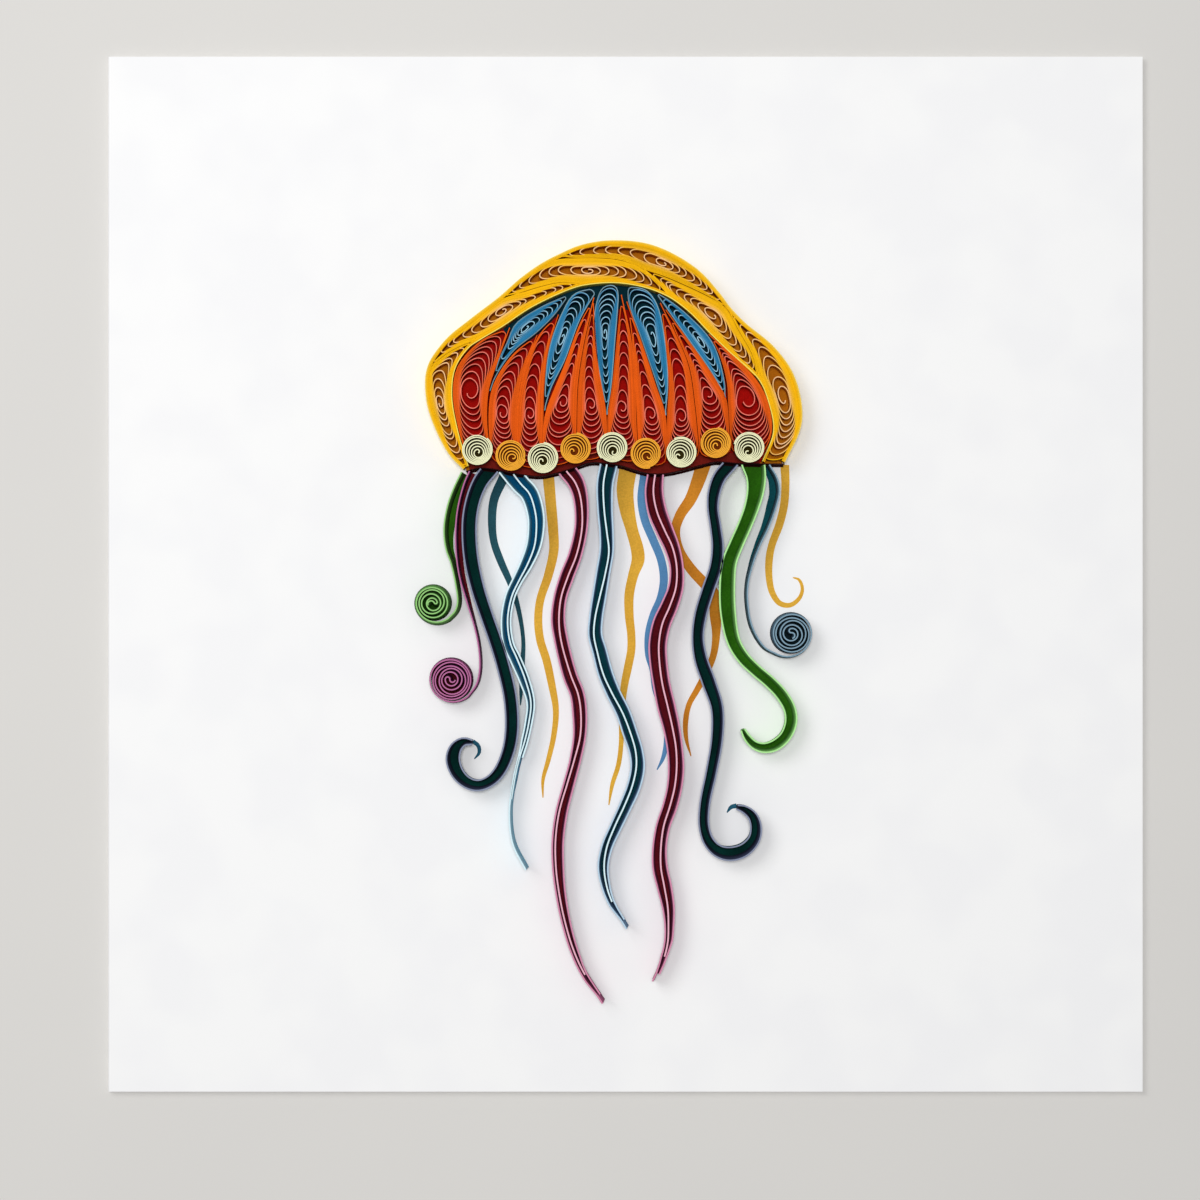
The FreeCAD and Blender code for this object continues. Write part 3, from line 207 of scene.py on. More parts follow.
TENTACLE_5 = [
    (-8.5, 14.9, 1.2, 0.9), (-7.4, 13.5, 1.1, 0.9), (-6.6, 11.4, 0.85, 0.85), (-6.3, 7.2, 0.6, 0.85),
    (-7.1, 2.9, 0.55, 0.95), (-8.4, -0.4, 0.65, 0.95), (-9.4, -3.5, 0.6, 0.85), (-9.7, -6.7, 0.65, 0.9),
    (-9.4, -9.7, 0.8, 0.75), (-8.0, -14.7, 0.7, 0.95), (-6.9, -17.6, 0.7, 0.95), (-6.5, -20.3, 0.65, 1.0),
    (-6.6, -23.7, 0.6, 0.8), (-7.5, -27.3, 0.75, 0.45), (-8.5, -30.7, 0.85, 0.35), (-9.65, -34.7, 1.0, 0.3),
    (-10.2, -38.8, 1.0, 0.3), (-10.15, -42.8, 0.95, 0.3), (-9.7, -46.5, 0.75, 0.3), (-8.9, -50.5, 0.6, 0.3),
    (-7.7, -54.6, 0.45, 0.3), (-6.2, -58.0, 0.3, 0.3), (-3.2, -62.7, 0.2, 0.2)]
TENTACLE_6 = [
    (-2.7, 16.0, 1.3, 0.75), (-3.2, 13.2, 1.2, 0.75), (-3.1, 9.5, 1.0, 0.75), (-2.7, 6.1, 0.75, 0.85),
    (-2.4, 3.3, 0.45, 1.15), (-2.9, 0.2, 0.45, 1.15), (-3.7, -3.2, 0.7, 0.9), (-4.4, -6.3, 0.9, 0.65),
    (-4.6, -8.9, 1.0, 0.6), (-4.1, -11.4, 1.2, 0.5), (-3.2, -14.7, 1.2, 0.55), (-1.9, -17.5, 1.0, 0.65),
    (-0.4, -20.3, 0.9, 0.75), (0.7, -23.1, 0.8, 0.9), (1.5, -25.9, 0.85, 0.75), (1.6, -28.2, 1.0, 0.6),
    (1.0, -31.0, 1.0, 0.55), (-0.1, -33.8, 0.85, 0.55), (-1.5, -36.8, 0.8, 0.5), (-2.7, -39.9, 0.6, 0.6),
    (-3.1, -42.8, 0.4, 0.7), (-2.7, -45.7, 0.3, 0.55), (-1.8, -48.2, 0.2, 0.4), (0.3, -51.8, 0.2, 0.2)]
TENTACLE_7 = [
    (4.4, 14.9, 1.0, 0.9), (4.1, 12.0, 1.2, 1.0), (4.6, 9.2, 1.2, 1.1), (5.7, 6.5, 1.05, 1.05),
    (6.9, 3.9, 0.8, 1.0), (7.5, 1.1, 0.75, 0.8), (7.4, -1.9, 0.85, 0.9), (6.5, -4.7, 0.95, 1.1),
    (5.4, -7.3, 1.0, 1.2), (4.9, -10.3, 0.9, 1.25), (5.0, -13.0, 0.9, 1.2), (5.4, -16.0, 0.9, 1.15),
    (6.2, -19.4, 0.9, 1.3), (6.9, -22.5, 0.85, 1.15), (7.4, -25.4, 0.75, 1.1), (7.5, -28.4, 0.85, 1.0),
    (7.2, -31.2, 0.85, 0.9), (6.5, -34.0, 0.85, 0.85), (5.6, -36.9, 0.7, 0.9), (5.2, -40.0, 0.6, 1.0),
    (5.2, -42.9, 0.75, 1.0), (5.7, -45.7, 0.85, 0.85), (6.2, -48.7, 0.75, 0.6), (6.3, -51.2, 0.6, 0.35),
    (6.2, -53.8, 0.45, 0.3), (5.6, -56.3, 0.3, 0.3), (4.1, -59.6, 0.2, 0.2)]

# Printed ribbons with no strip on them: x, y, half width
YELLOW_RIBBONS = [
    [(-11.3, 14.3, 0.85), (-11.0, 11.0, 0.8), (-10.6, 6.5, 0.75), (-10.5, 3.6, 0.7), (-11.3, -0.1, 0.65),
     (-12.5, -3.8, 0.6), (-12.8, -6.7, 0.6), (-12.5, -9.7, 0.6), (-11.6, -12.6, 0.6), (-10.8, -16.3, 0.55),
     (-10.2, -20.0, 0.45), (-10.5, -23.7, 0.4), (-11.3, -27.3, 0.35), (-12.1, -30.3, 0.25),
     (-12.1, -32.9, 0.08)],
    [(0.4, 15.3, 1.3), (0.0, 12.4, 1.25), (0.3, 9.5, 1.1), (1.0, 6.5, 0.9), (1.8, 3.6, 0.95),
     (1.9, 2.1, 0.95), (1.2, -0.1, 0.75), (0.6, -3.0, 0.7), (0.6, -6.0, 0.65), (0.9, -8.9, 0.6),
     (0.9, -11.1, 0.6), (0.4, -13.8, 0.6), (-0.1, -16.3, 0.55), (-0.5, -20.3, 0.4), (-0.6, -25.1, 0.35),
     (-1.0, -28.1, 0.35), (-1.9, -31.0, 0.3), (-2.4, -34.0, 0.08)],
    [(23.5, 16.0, 0.65), (23.6, 13.2, 0.6), (23.4, 10.2, 0.6), (22.7, 7.3, 0.6), (21.6, 4.3, 0.55),
     (21.2, 2.1, 0.55), (21.2, -0.5, 0.5), (21.7, -2.8, 0.45), (22.8, -4.3, 0.4), (24.3, -4.55, 0.35),
     (25.6, -3.6, 0.3), (26.1, -2.2, 0.25), (25.6, -0.8, 0.2), (24.7, -0.5, 0.08)],
]
ORANGE_RIBBON = [
    (11.5, 16.1, 1.1), (10.8, 13.9, 1.0), (9.6, 11.0, 0.85), (8.1, 8.7, 0.75), (7.4, 6.4, 0.7),
    (8.0, 3.6, 0.65), (9.6, 0.9, 0.75), (11.6, -1.3, 0.8), (13.1, -3.0, 0.85), (13.3, -6.0, 0.85),
    (13.4, -8.9, 0.6), (13.0, -11.9, 0.5), (12.0, -14.4, 0.5), (10.6, -17.0, 0.45), (9.4, -19.2, 0.4),
    (8.9, -21.7, 0.4), (9.0, -24.2, 0.3), (9.7, -26.8, 0.08)]
SKY_RIBBON = [
    (2.8, 14.6, 0.6), (2.4, 11.0, 0.6), (2.9, 8.0, 0.6), (4.1, 5.1, 0.6), (5.3, 2.1, 0.6),
    (5.7, -0.8, 0.6), (5.2, -3.5, 0.55), (4.1, -6.0, 0.5), (3.4, -8.9, 0.5), (3.4, -11.9, 0.45),
    (4.0, -14.1, 0.4), (4.4, -17.0, 0.4), (5.2, -19.2, 0.4), (6.1, -22.0, 0.4), (6.0, -25.1, 0.35),
    (5.6, -27.0, 0.3), (4.7, -28.8, 0.08)]
TEAL_RIBBON = [
    (-17.7, 14.6, 0.75), (-19.3, 11.0, 0.65), (-19.6, 7.5, 0.6), (-19.3, 4.7, 0.55), (-18.4, 2.1, 0.55),
    (-16.8, -1.6, 0.45), (-15.7, -5.2, 0.35), (-15.0, -9.7, 0.3), (-15.1, -13.0, 0.35),
    (-15.3, -17.0, 0.3), (-15.4, -19.3, 0.08)]

# Printed tails that run on past a hooked pair of strips
TEAL_TAILS = [
    [(-22.4, -24.6, 0.3), (-21.6, -25.3, 0.3), (-21.5, -26.3, 0.25), (-22.2, -27.2, 0.08)],
    [(16.4, -34.1, 0.35), (15.6, -34.3, 0.3), (15.0, -35.1, 0.08)],
]

# Width of the print beside each one-strip tentacle, from the hem down
GREEN_BAND = [0.5, 1.1, 1.25, 1.2, 0.8, 0.4, 0.08]
MAUVE_BAND = [1.6, 1.35, 0.9, 0.75, 0.6, 0.3, 0.08]
BLUE_BAND = [0.7, 1.2, 1.15, 0.8, 0.5, 0.3, 0.2, 0.08]

# Width of the bell's turns where they lie bunched, and how many turns each kind of coil has
TURN_PITCH = 0.158
RIM_TURNS = 9
TEARDROP_TURNS = 8
PETAL_TURNS = 9
# Half width left in a cell's tips by the outermost turn and by the inner ones, how blunt the first is,
# and the least half width of any turn
OUTER_ROOM = 0.08
INNER_ROOM = 0.3
OUTER_CLOSING = 0.5
LEAST_HALF = 0.04
# Turn at which a coil starts to open, the turns that this takes, and the share of it by which the turns
# are out of the tips
OPENS_AT = 0.5
OPENS_OVER = 2
RELEASED_BY = 1 / 4
# How far a turn may stray towards its neighbour
DRIFT = 0.2
# How the painted highlight on the cut edge fades from a turn's free end to its bunched side, and comes back
# at the eye
FREE_REACH = 1.15
FREE_FADE = 0.6
EYE_FADE = 6
# Inner end of a coil: least and greatest angle of its hook in degrees, how much it shrinks, and its tone
HOOK_ANGLES = (200, 290)
HOOK_SHRINKS = (0.55, 0.75)
HOOK_TONE = 0.3
# Share of the outer colour, a painted highlight, on each layer of the rim's wraps from the outside in, which
# paints a halo along the outline, and the layers' tones in turn
OUTLINE_PAINTED_HALO = (0.6, 0.25, 0.0, 0.0)
ARCH_PAINTED_HIGHLIGHT = (1.0, 0.0, 0.0)
WRAP_TONES = (0.2, 0.7)
# The S in the eye of a roll, as two half circles: radius and place of the middle in eye radii, way round
EYE_BENDS = ((0.5, 0.5, 1), (0.35, -0.35, -1))

# Points on each span of a smooth curve, and the angle past which an edge stays sharp
SPAN_POINTS = 16
SHARP_EDGE = math.radians(40)

# Sizes of the patterns: fibres and mottling of the strips, grain and soaked clouds of the print, tooth and
# clouds of the board, clouds of the table
FIBRE, MOTTLE = 2 / 13, 2.0
GRAIN, SOAKED = 0.25, 4.0
TOOTH, CLOUD = 1 / 3, 12.5
TABLE_CLOUD = 50.0
# Span in which most of a noise pattern lies, and how strongly the surfaces' bump shows
NOISE_SPAN = (0.3, 0.7)
BUMP = 0.6
# A face that looks up by more than this is a strip's cut edge
CUT_EDGE = 0.6
# What a point of a strip carries after x and y: how far it crosses an open cell, which sets a painted
# highlight on its cut edge, whether it has the outer colour, also a painted highlight, and how dark it is
SHARES = ("free", "outer", "tone")


def linear(code: str) -> tuple[float, float, float, float]:
    """Linear colour of an sRGB hex code.

    Args:
        code: six hex digits with a leading #.

    Returns:
        Red, green, blue and an alpha of one.
    """
    levels = [int(code[i:i + 2], 16) / 255 for i in (1, 3, 5)]
    red, green, blue = [v / 12.92 if v <= 0.04045 else ((v + 0.055) / 1.055) ** 2.4 for v in levels]
    return red, green, blue, 1.0


def add_node(tree: bpy.types.NodeTree, kind: str, inputs: dict[str | int, object] | None = None,
             **settings: object) -> bpy.types.Node:
    """Add a node, set its properties, and set or link its inputs.

    Args:
        tree: the node tree that gets it.
        kind: the node's type name.
        inputs: socket names or numbers, each with a value or with the socket that feeds it.
        settings: the node's own properties.

    Returns:
        The new node.
    """
    node = tree.nodes.new(kind)
    for name, value in settings.items():
        setattr(node, name, value)
    for key, value in (inputs or {}).items():
        if isinstance(value, bpy.types.NodeSocket):
            tree.links.new(value, node.inputs[key])
        else:
            node.inputs[key].default_value = value
    return node


def blank_material(name: str) -> tuple[bpy.types.Material, bpy.types.NodeTree, bpy.types.NodeSocket]:
    """Make an empty material that measures its patterns in millimetres.

    Args:
        name: the material's name.

    Returns:
        The material, its tree and the socket with Object coordinates in millimetres.
    """
    material = bpy.data.materials.new(name)
    material.use_nodes = True
    tree = material.node_tree
    tree.nodes.clear()
    place = add_node(tree, "ShaderNodeTexCoord").outputs["Object"]
    scaled = add_node(tree, "ShaderNodeMapping", {"Vector": place, "Scale": (1 / MM, 1 / MM, 1 / MM)})
    return material, tree, scaled.outputs["Vector"]


def noise(tree: bpy.types.NodeTree, place: Feed, size: float, detail: float = 2.0) -> bpy.types.NodeSocket:
    """Draw a noise pattern of one size in millimetres."""
    return add_node(tree, "ShaderNodeTexNoise",
                    {"Vector": place, "Scale": 1 / size, "Detail": detail}).outputs["Fac"]


def maths(tree: bpy.types.NodeTree, operation: str, first: Feed, second: Feed) -> bpy.types.NodeSocket:
    """Calculate with two values."""
    return add_node(tree, "ShaderNodeMath", {0: first, 1: second}, operation=operation).outputs[0]


def mixed(tree: bpy.types.NodeTree, share: Feed, first: Feed, second: Feed) -> bpy.types.NodeSocket:
    """Blend two colours by a share of the second."""
    return add_node(tree, "ShaderNodeMix", {0: share, 6: first, 7: second}, data_type="RGBA").outputs[2]


def ranged(tree: bpy.types.NodeTree, value: Feed, low: float, high: float, to_low: float,
           to_high: float) -> bpy.types.NodeSocket:
    """Map values from low to high on to the range from to_low to to_high, and hold them there."""
    return add_node(tree, "ShaderNodeMapRange", {"Value": value, "From Min": low, "From Max": high,
                                                 "To Min": to_low, "To Max": to_high}).outputs["Result"]


def matt_surface(tree: bpy.types.NodeTree, colour: bpy.types.NodeSocket, relief: bpy.types.NodeSocket,
                 depth: float, roughness: float, gloss: float) -> None:
    """Finish a tree with a matt shader.

    Args:
        tree: the tree to finish.
        colour: the surface colour.
        relief: height pattern of the paper's tooth.
        depth: depth of that tooth in millimetres.
        roughness: the shader's roughness.
        gloss: the shader's specular level.
    """
    bump = add_node(tree, "ShaderNodeBump", {"Strength": BUMP, "Distance": depth * MM, "Height": relief})
    shader = add_node(tree, "ShaderNodeBsdfPrincipled", {
        "Base Color": colour, "Roughness": roughness, "Specular IOR Level": gloss,
        "Normal": bump.outputs["Normal"]})
    add_node(tree, "ShaderNodeOutputMaterial", {"Surface": shader.outputs["BSDF"]})


@dataclass(frozen=True)
class QuillingPaper:
    """Uncoated 120 g paper dyed in the pulp and slit into strips.

    It gives a soft matt face with fibre mottling, and a cut edge that is paler than the face. The face
    is painted darker towards the card, as painted shade deep between the strips.

    Attributes:
        dye: the strip's colour name.
        face: colour of the strip's face.
        foot: colour of the face close to the card, painted shade.
        edge: cut edge where turns lie bunched, or along a tentacle.
        free: cut edge where a turn crosses an open cell, a painted highlight.
        outer: painted highlight on the outermost turn, on its cut edge and face.
        streak: brightness of the darkest turns of a coil against the lightest.
    """

    dye: str
    face: str
    foot: str
    edge: str
    free: str = ""
    outer: str = ""
    streak: float = 0.8

    def material(self, foot_z: float = INK_TOP, top_z: float = STRIP_TOP) -> bpy.types.Material:
        """Make the material.

        Args:
            foot_z: height at which the strips stand.
            top_z: height of their upper edge.

        Returns:
            The new material.
        """
        material, tree, place = blank_material(f"{self.dye}_quilling_paper")
        height = add_node(tree, "ShaderNodeSeparateXYZ", {"Vector": place}).outputs["Z"]
        rise = ranged(tree, height, foot_z, top_z, 0, 1)
        facing = add_node(tree, "ShaderNodeNewGeometry").outputs["True Normal"]
        upward = add_node(tree, "ShaderNodeSeparateXYZ", {"Vector": facing}).outputs["Z"]
        on_edge = maths(tree, "GREATER_THAN", upward, CUT_EDGE)
        free, outer, tone = (add_node(tree, "ShaderNodeAttribute", attribute_name=label).outputs["Fac"]
                             for label in SHARES)
        # Painted highlights: a paler cut edge on open turns, and the outer colour on the outermost turns.
        edge = mixed(tree, free, linear(self.edge), linear(self.free or self.edge))
        edge = mixed(tree, outer, edge, linear(self.outer or self.edge))
        # Painted shade: the face darkens from its upper edge down to the card.
        face = mixed(tree, rise, linear(self.foot), linear(self.face))
        face = mixed(tree, outer, face, linear(self.outer or self.face))
        colour = mixed(tree, on_edge, face, edge)
        fibre, cloud = noise(tree, place, FIBRE, 3.0), noise(tree, place, MOTTLE)
        light = ranged(tree, fibre, *NOISE_SPAN, 0.9, 1.08)
        patchy = ranged(tree, cloud, *NOISE_SPAN, 0.96, 1.04)
        # Turns of a coil differ a little, which draws fine streaks along the bunched sides
        streak = ranged(tree, tone, 0, 1, 1, self.streak)
        level = maths(tree, "MULTIPLY", maths(tree, "MULTIPLY", light, patchy), streak)
        varied = add_node(tree, "ShaderNodeHueSaturation", {"Color": colour, "Value": level})
        matt_surface(tree, varied.outputs["Color"], fibre, depth=0.02, roughness=0.88, gloss=0.12)
        return material


@dataclass(frozen=True)
class InkPrint:
    """Ink-jet print on uncoated board, with a fine grain where the board's tooth shows through.

    Attributes:
        name: the finish's name.
        ink: the full colour.
        dark: the colour where more ink has soaked in.
        grain: how strongly the tooth shows, from none to one.
    """

    name: str
    ink: str
    dark: str
    grain: float = 0.35

    def material(self) -> bpy.types.Material:
        """Make the material.

        Returns:
            The new material.
        """
        material, tree, place = blank_material(self.name)
        # The grain is drawn a little coarser than the real tooth so that it shows
        grain, cloud = noise(tree, place, GRAIN), noise(tree, place, SOAKED, 1.0)
        soaked = ranged(tree, cloud, 0.35, 0.65, 0, 0.6)
        colour = mixed(tree, soaked, linear(self.ink), linear(self.dark))
        level = ranged(tree, grain, *NOISE_SPAN, 1 - self.grain / 2, 1 + self.grain / 2)
        varied = add_node(tree, "ShaderNodeHueSaturation", {"Color": colour, "Value": level})
        matt_surface(tree, varied.outputs["Color"], grain, depth=0.015, roughness=0.85, gloss=0.06)
        return material


@dataclass(frozen=True)
class CardBoard:
    """Smooth white uncoated board of about 250 g, with a fine tooth and no shine.

    Attributes:
        name: the finish's name.
        white: the board's colour.
        shade: the colour of its faint clouds.
    """

    name: str
    white: str
    shade: str

    def material(self) -> bpy.types.Material:
        """Make the material.

        Returns:
            The new material.
        """
        material, tree, place = blank_material(self.name)
        tooth, cloud = noise(tree, place, TOOTH, 4.0), noise(tree, place, CLOUD)
        soft = ranged(tree, cloud, 0.4, 0.6, 0, 1)
        colour = mixed(tree, soft, linear(self.white), linear(self.shade))
        matt_surface(tree, colour, tooth, depth=0.012, roughness=0.9, gloss=0.2)
        return material


# The foot colours are painted shade deep between the strips; the free and outer colours are painted
# highlights.
RIM_PAPER = QuillingPaper("golden", "#F8AC18", "#CC7A12", "#FFBD08", "#FFCE98", "#FFE86A", 0.84)
DROP_PAPER = QuillingPaper("blue", "#2F83B8", "#0A3442", "#2C85B6", "#A8D8EE", "#86A9B8", 0.7)
PETAL_PAPER = QuillingPaper("coral", "#DC3A12", "#C81008", "#F4600E", "#FF8676", "#D6450E", 0.74)
CREAM_PAPER = QuillingPaper("cream", "#B9B382", "#2A2008", "#F6F5C8")
APRICOT_PAPER = QuillingPaper("apricot", "#E08A22", "#6E2A04", "#FAAE36")
WINE_PAPER = QuillingPaper("wine", "#3A060C", "#1C0204", "#2A0408")
GREEN_STRIP = QuillingPaper("green", "#9CDD82", "#4E8C34", "#B4EE9C")
GREEN_ROLL_PAPER = QuillingPaper("leaf", "#6DB052", "#0C2A04", "#96CE7C")
MAUVE_STRIP = QuillingPaper("mauve", "#A04A88", "#3A0618", "#BC6F9E")
SLATE_STRIP = QuillingPaper("slate", "#4A5273", "#23293F", "#8890A8")
PALE_STRIP = QuillingPaper("pale_blue", "#A9DCEC", "#5FA3BC", "#DDF6FD")
STEEL_STRIP = QuillingPaper("steel", "#7FA6C8", "#4A6F90", "#B9D3E6")
BLUE_ROLL_PAPER = QuillingPaper("steel_roll", "#5F8399", "#0A1626", "#84A2B4")
PINK_STRIP = QuillingPaper("pink", "#E39BBB", "#A8527C", "#F0B6C8")
ROSE_STRIP = QuillingPaper("rose", "#B8648C", "#6E2A50", "#D78DAC")

RIM_INK = InkPrint("amber_ink", "#CE7E14", "#BC6E10", 0.2)
DROP_INK = InkPrint("black_teal_ink", "#0B3A48", "#07262F", 0.3)
PETAL_INK = InkPrint("dark_red_ink", "#B8100A", "#A80C07", 0.25)
YELLOW_INK = InkPrint("ochre_ink", "#E2AE3E", "#D6A036", 0.2)
ORANGE_INK = InkPrint("burnt_orange_ink", "#D68A2A", "#BF7420", 0.2)
SKY_INK = InkPrint("sky_blue_ink", "#5B8FBC", "#4E80AC", 0.15)
RIBBON_TEAL_INK = InkPrint("grey_teal_ink", "#295560", "#204650", 0.3)
BLACK_TEAL_INK = InkPrint("deep_green_ink", "#04332F", "#02211F", 0.35)
SEA_INK = InkPrint("sea_teal_ink", "#0C4650", "#06303A", 0.3)
BLUE_INK = InkPrint("petrol_ink", "#075C86", "#064A6E", 0.25)
# A dark band of painted shade along the petals' feet above the hem.
PETAL_FOOT_SHADE = InkPrint("dark_brick_painted_shade", "#8A241C", "#761E18", 0.3)
HEM_INK = InkPrint("black_cherry_ink", "#2E060A", "#1E0406", 0.3)
MAROON_INK = InkPrint("maroon_ink", "#6A1420", "#591019", 0.4)
GREEN_INK = InkPrint("leaf_green_ink", "#2F6A10", "#22500A", 0.3)
ROLL_TEAL_INK = InkPrint("dark_teal_ink", "#10505A", "#0A3A44", 0.3)
# Dark discs under the rolls, painted shade between their turns.
LEAF_ROLL_SHADE = InkPrint("leaf_roll_painted_shade", "#1F4A0C", "#163606", 0.3)
WINE_ROLL_SHADE = InkPrint("wine_roll_painted_shade", "#4A1018", "#3A0A12", 0.3)
NIGHT_ROLL_SHADE = InkPrint("night_roll_painted_shade", "#14252C", "#0C1A20", 0.3)
TAIL_INK = InkPrint("tail_blue_ink", "#2A5F74", "#1E5068", 0.3)
# Dark discs under the beads, painted shade in their eyes.
OLIVE_EYE_SHADE = InkPrint("olive_eye_painted_shade", "#40360F", "#2C240A", 0.3)
BROWN_EYE_SHADE = InkPrint("brown_eye_painted_shade", "#8A3C08", "#6E2C06", 0.3)
WHITE_BOARD = CardBoard("white_card_board", "#FAFAFA", "#F7F7F8")


class Side(Enum):
    """Side of a tentacle's middle line, seen along its way down."""

    LEFT = 1
    MIDDLE = 0
    RIGHT = -1


def distance(a: Sequence[float], b: Sequence[float]) -> float:
    """Distance between two points, by their first two values."""
    return math.hypot(b[0] - a[0], b[1] - a[1])


def blend(a: Sequence[float], b: Sequence[float], share: float) -> Point:
    """Values between two points."""
    return tuple(p + (q - p) * share for p, q in zip(a, b))


def resampled(points: Sequence[Point], count: int) -> Line:
    """Points at even distances along a run of straight pieces.

    Args:
        points: the run.
        count: how many points are wanted.

    Returns:
        The new points, with both ends kept.
    """
    reach = [0.0]
    for a, b in zip(points, points[1:]):
        reach.append(reach[-1] + distance(a, b))
    result, piece = [], 0
    for index in range(count):
        target = reach[-1] * index / (count - 1)
        while piece < len(points) - 2 and reach[piece + 1] < target:
            piece += 1
        span = reach[piece + 1] - reach[piece]
        result.append(blend(points[piece], points[piece + 1], (target - reach[piece]) / span if span else 0))
    return result


def smooth(points: Sequence[Sequence[float]], count: int) -> Line:
    """Points at even distances along one smooth curve through the given ones.

    Args:
        points: places to pass, which may carry widths after x and y.
        count: how many points are wanted.

    Returns:
        The points of a centripetal Catmull-Rom curve.
    """
    places = [tuple(p) for p in points]
    if len(places) == 2:
        return resampled(places, count)
    first = blend(places[0], places[1], -1)
    last = blend(places[-1], places[-2], -1)
    run = [first] + places + [last]
    fine: Line = []
    for p0, p1, p2, p3 in zip(run, run[1:], run[2:], run[3:]):
        t1 = math.sqrt(distance(p0, p1))
        t2 = t1 + math.sqrt(distance(p1, p2))
        t3 = t2 + math.sqrt(distance(p2, p3))
        for step in range(SPAN_POINTS):
            t = t1 + (t2 - t1) * step / SPAN_POINTS
            a1 = blend(p0, p1, t / t1)
            a2 = blend(p1, p2, (t - t1) / (t2 - t1))
            a3 = blend(p2, p3, (t - t2) / (t3 - t2))
            b1 = blend(a1, a2, t / t2)
            b2 = blend(a2, a3, (t - t1) / (t3 - t1))
            fine.append(blend(b1, b2, (t - t1) / (t2 - t1)))
    fine.append(places[-1])
    return resampled(fine, count)


def beside(line: Sequence[Point], offsets: float | Sequence[float]) -> Line:
    """Points moved to the left of a line.

    Args:
        line: the points.
        offsets: one distance for all or one for each, negative to the right.

    Returns:
        The moved points, x and y only.
    """
    result = []
    for index, offset in enumerate([offsets] * len(line) if isinstance(offsets, float) else offsets):
        before = line[max(index - 1, 0)]
        after = line[min(index + 1, len(line) - 1)]
        length = distance(before, after) or 1.0
        result.append((line[index][0] - (after[1] - before[1]) / length * offset,
                       line[index][1] + (after[0] - before[0]) / length * offset))
    return result


def length_of(line: Sequence[Point]) -> float:
    """Length of a run of straight pieces."""
    return sum(distance(a, b) for a, b in zip(line, line[1:]))


def even(points: Sequence[Sequence[float]], spacing: float) -> Line:
    """A smooth curve through the points, with points about a spacing apart."""
    return smooth(points, max(3, round(length_of(points) / spacing) + 1))


def mesh_object(name: str, points: Iterable[Sequence[float]], edges: Iterable[Sequence[int]],
                faces: Iterable[Sequence[int]]) -> bpy.types.Object:
    """Make an object at the origin from points in millimetres.

    Args:
        name: the object's name.
        points: places in millimetres.
        edges: pairs of point numbers.
        faces: point numbers of each face.

    Returns:
        The new object, linked to the scene.
    """
    mesh = bpy.data.meshes.new(name)
    mesh.from_pydata([[v * MM for v in p] for p in points], list(edges), list(faces))
    mesh.update()
    piece = bpy.data.objects.new(name, mesh)
    bpy.context.scene.collection.objects.link(piece)
    return piece


def outward(mesh: bpy.types.Mesh) -> None:
    """Point a mesh's faces outwards.

    Args:
        mesh: the closed mesh.
    """
    shape = bmesh.new()
    shape.from_mesh(mesh)
    bmesh.ops.recalc_face_normals(shape, faces=shape.faces)
    if shape.calc_volume(signed=True) < 0:
        bmesh.ops.reverse_faces(shape, faces=shape.faces)
    shape.to_mesh(mesh)
    shape.free()


def film(name: str, left: Sequence[Point], right: Sequence[Point], top: float) -> bpy.types.Object:
    """Make a thin closed film of print between two lines.

    Args:
        name: the piece's name.
        left: points of one side.
        right: as many points of the other side.
        top: height of its upper face.

    Returns:
        The piece.
    """
    count = len(left)
    points = [(p[0], p[1], z) for z in (CARD_TOP, top) for side in (left, right) for p in side]
    faces: list[tuple[int, ...]] = []
    low_left, low_right, top_left, top_right = (count * k for k in range(4))
    for i in range(count - 1):
        faces.append((top_left + i, top_left + i + 1, top_right + i + 1, top_right + i))
        faces.append((low_left + i, low_right + i, low_right + i + 1, low_left + i + 1))
        faces.append((low_left + i, low_left + i + 1, top_left + i + 1, top_left + i))
        faces.append((low_right + i, top_right + i, top_right + i + 1, low_right + i + 1))
    for i in (0, count - 1):
        faces.append((low_left + i, top_left + i, top_right + i, low_right + i))
    piece = mesh_object(name, points, [], faces)
    outward(piece.data)
    return piece


def circle(middle: Point, radius: float, count: int = 48) -> Line:
    """Points round a circle."""
    turns = [2 * math.pi * index / count for index in range(count)]
    return [(middle[0] + math.cos(a) * radius, middle[1] + math.sin(a) * radius) for a in turns]


def patch(name: str, outline: Sequence[Point], top: float, foot: float = CARD_TOP) -> bpy.types.Object:
    """Make a thin closed film inside an outline.

    Args:
        name: the piece's name.
        outline: points round it, the first one not repeated.
        top: height of its upper face.
        foot: height of its lower face.

    Returns:
        The piece.
    """
    count = len(outline)
    points = [(p[0], p[1], z) for z in (foot, top) for p in outline]
    faces: list[tuple[int, ...]] = [tuple(range(count)), tuple(range(count, 2 * count))]
    faces += [(i, (i + 1) % count, count + (i + 1) % count, count + i) for i in range(count)]
    piece = mesh_object(name, points, [], faces)
    outward(piece.data)
    return piece


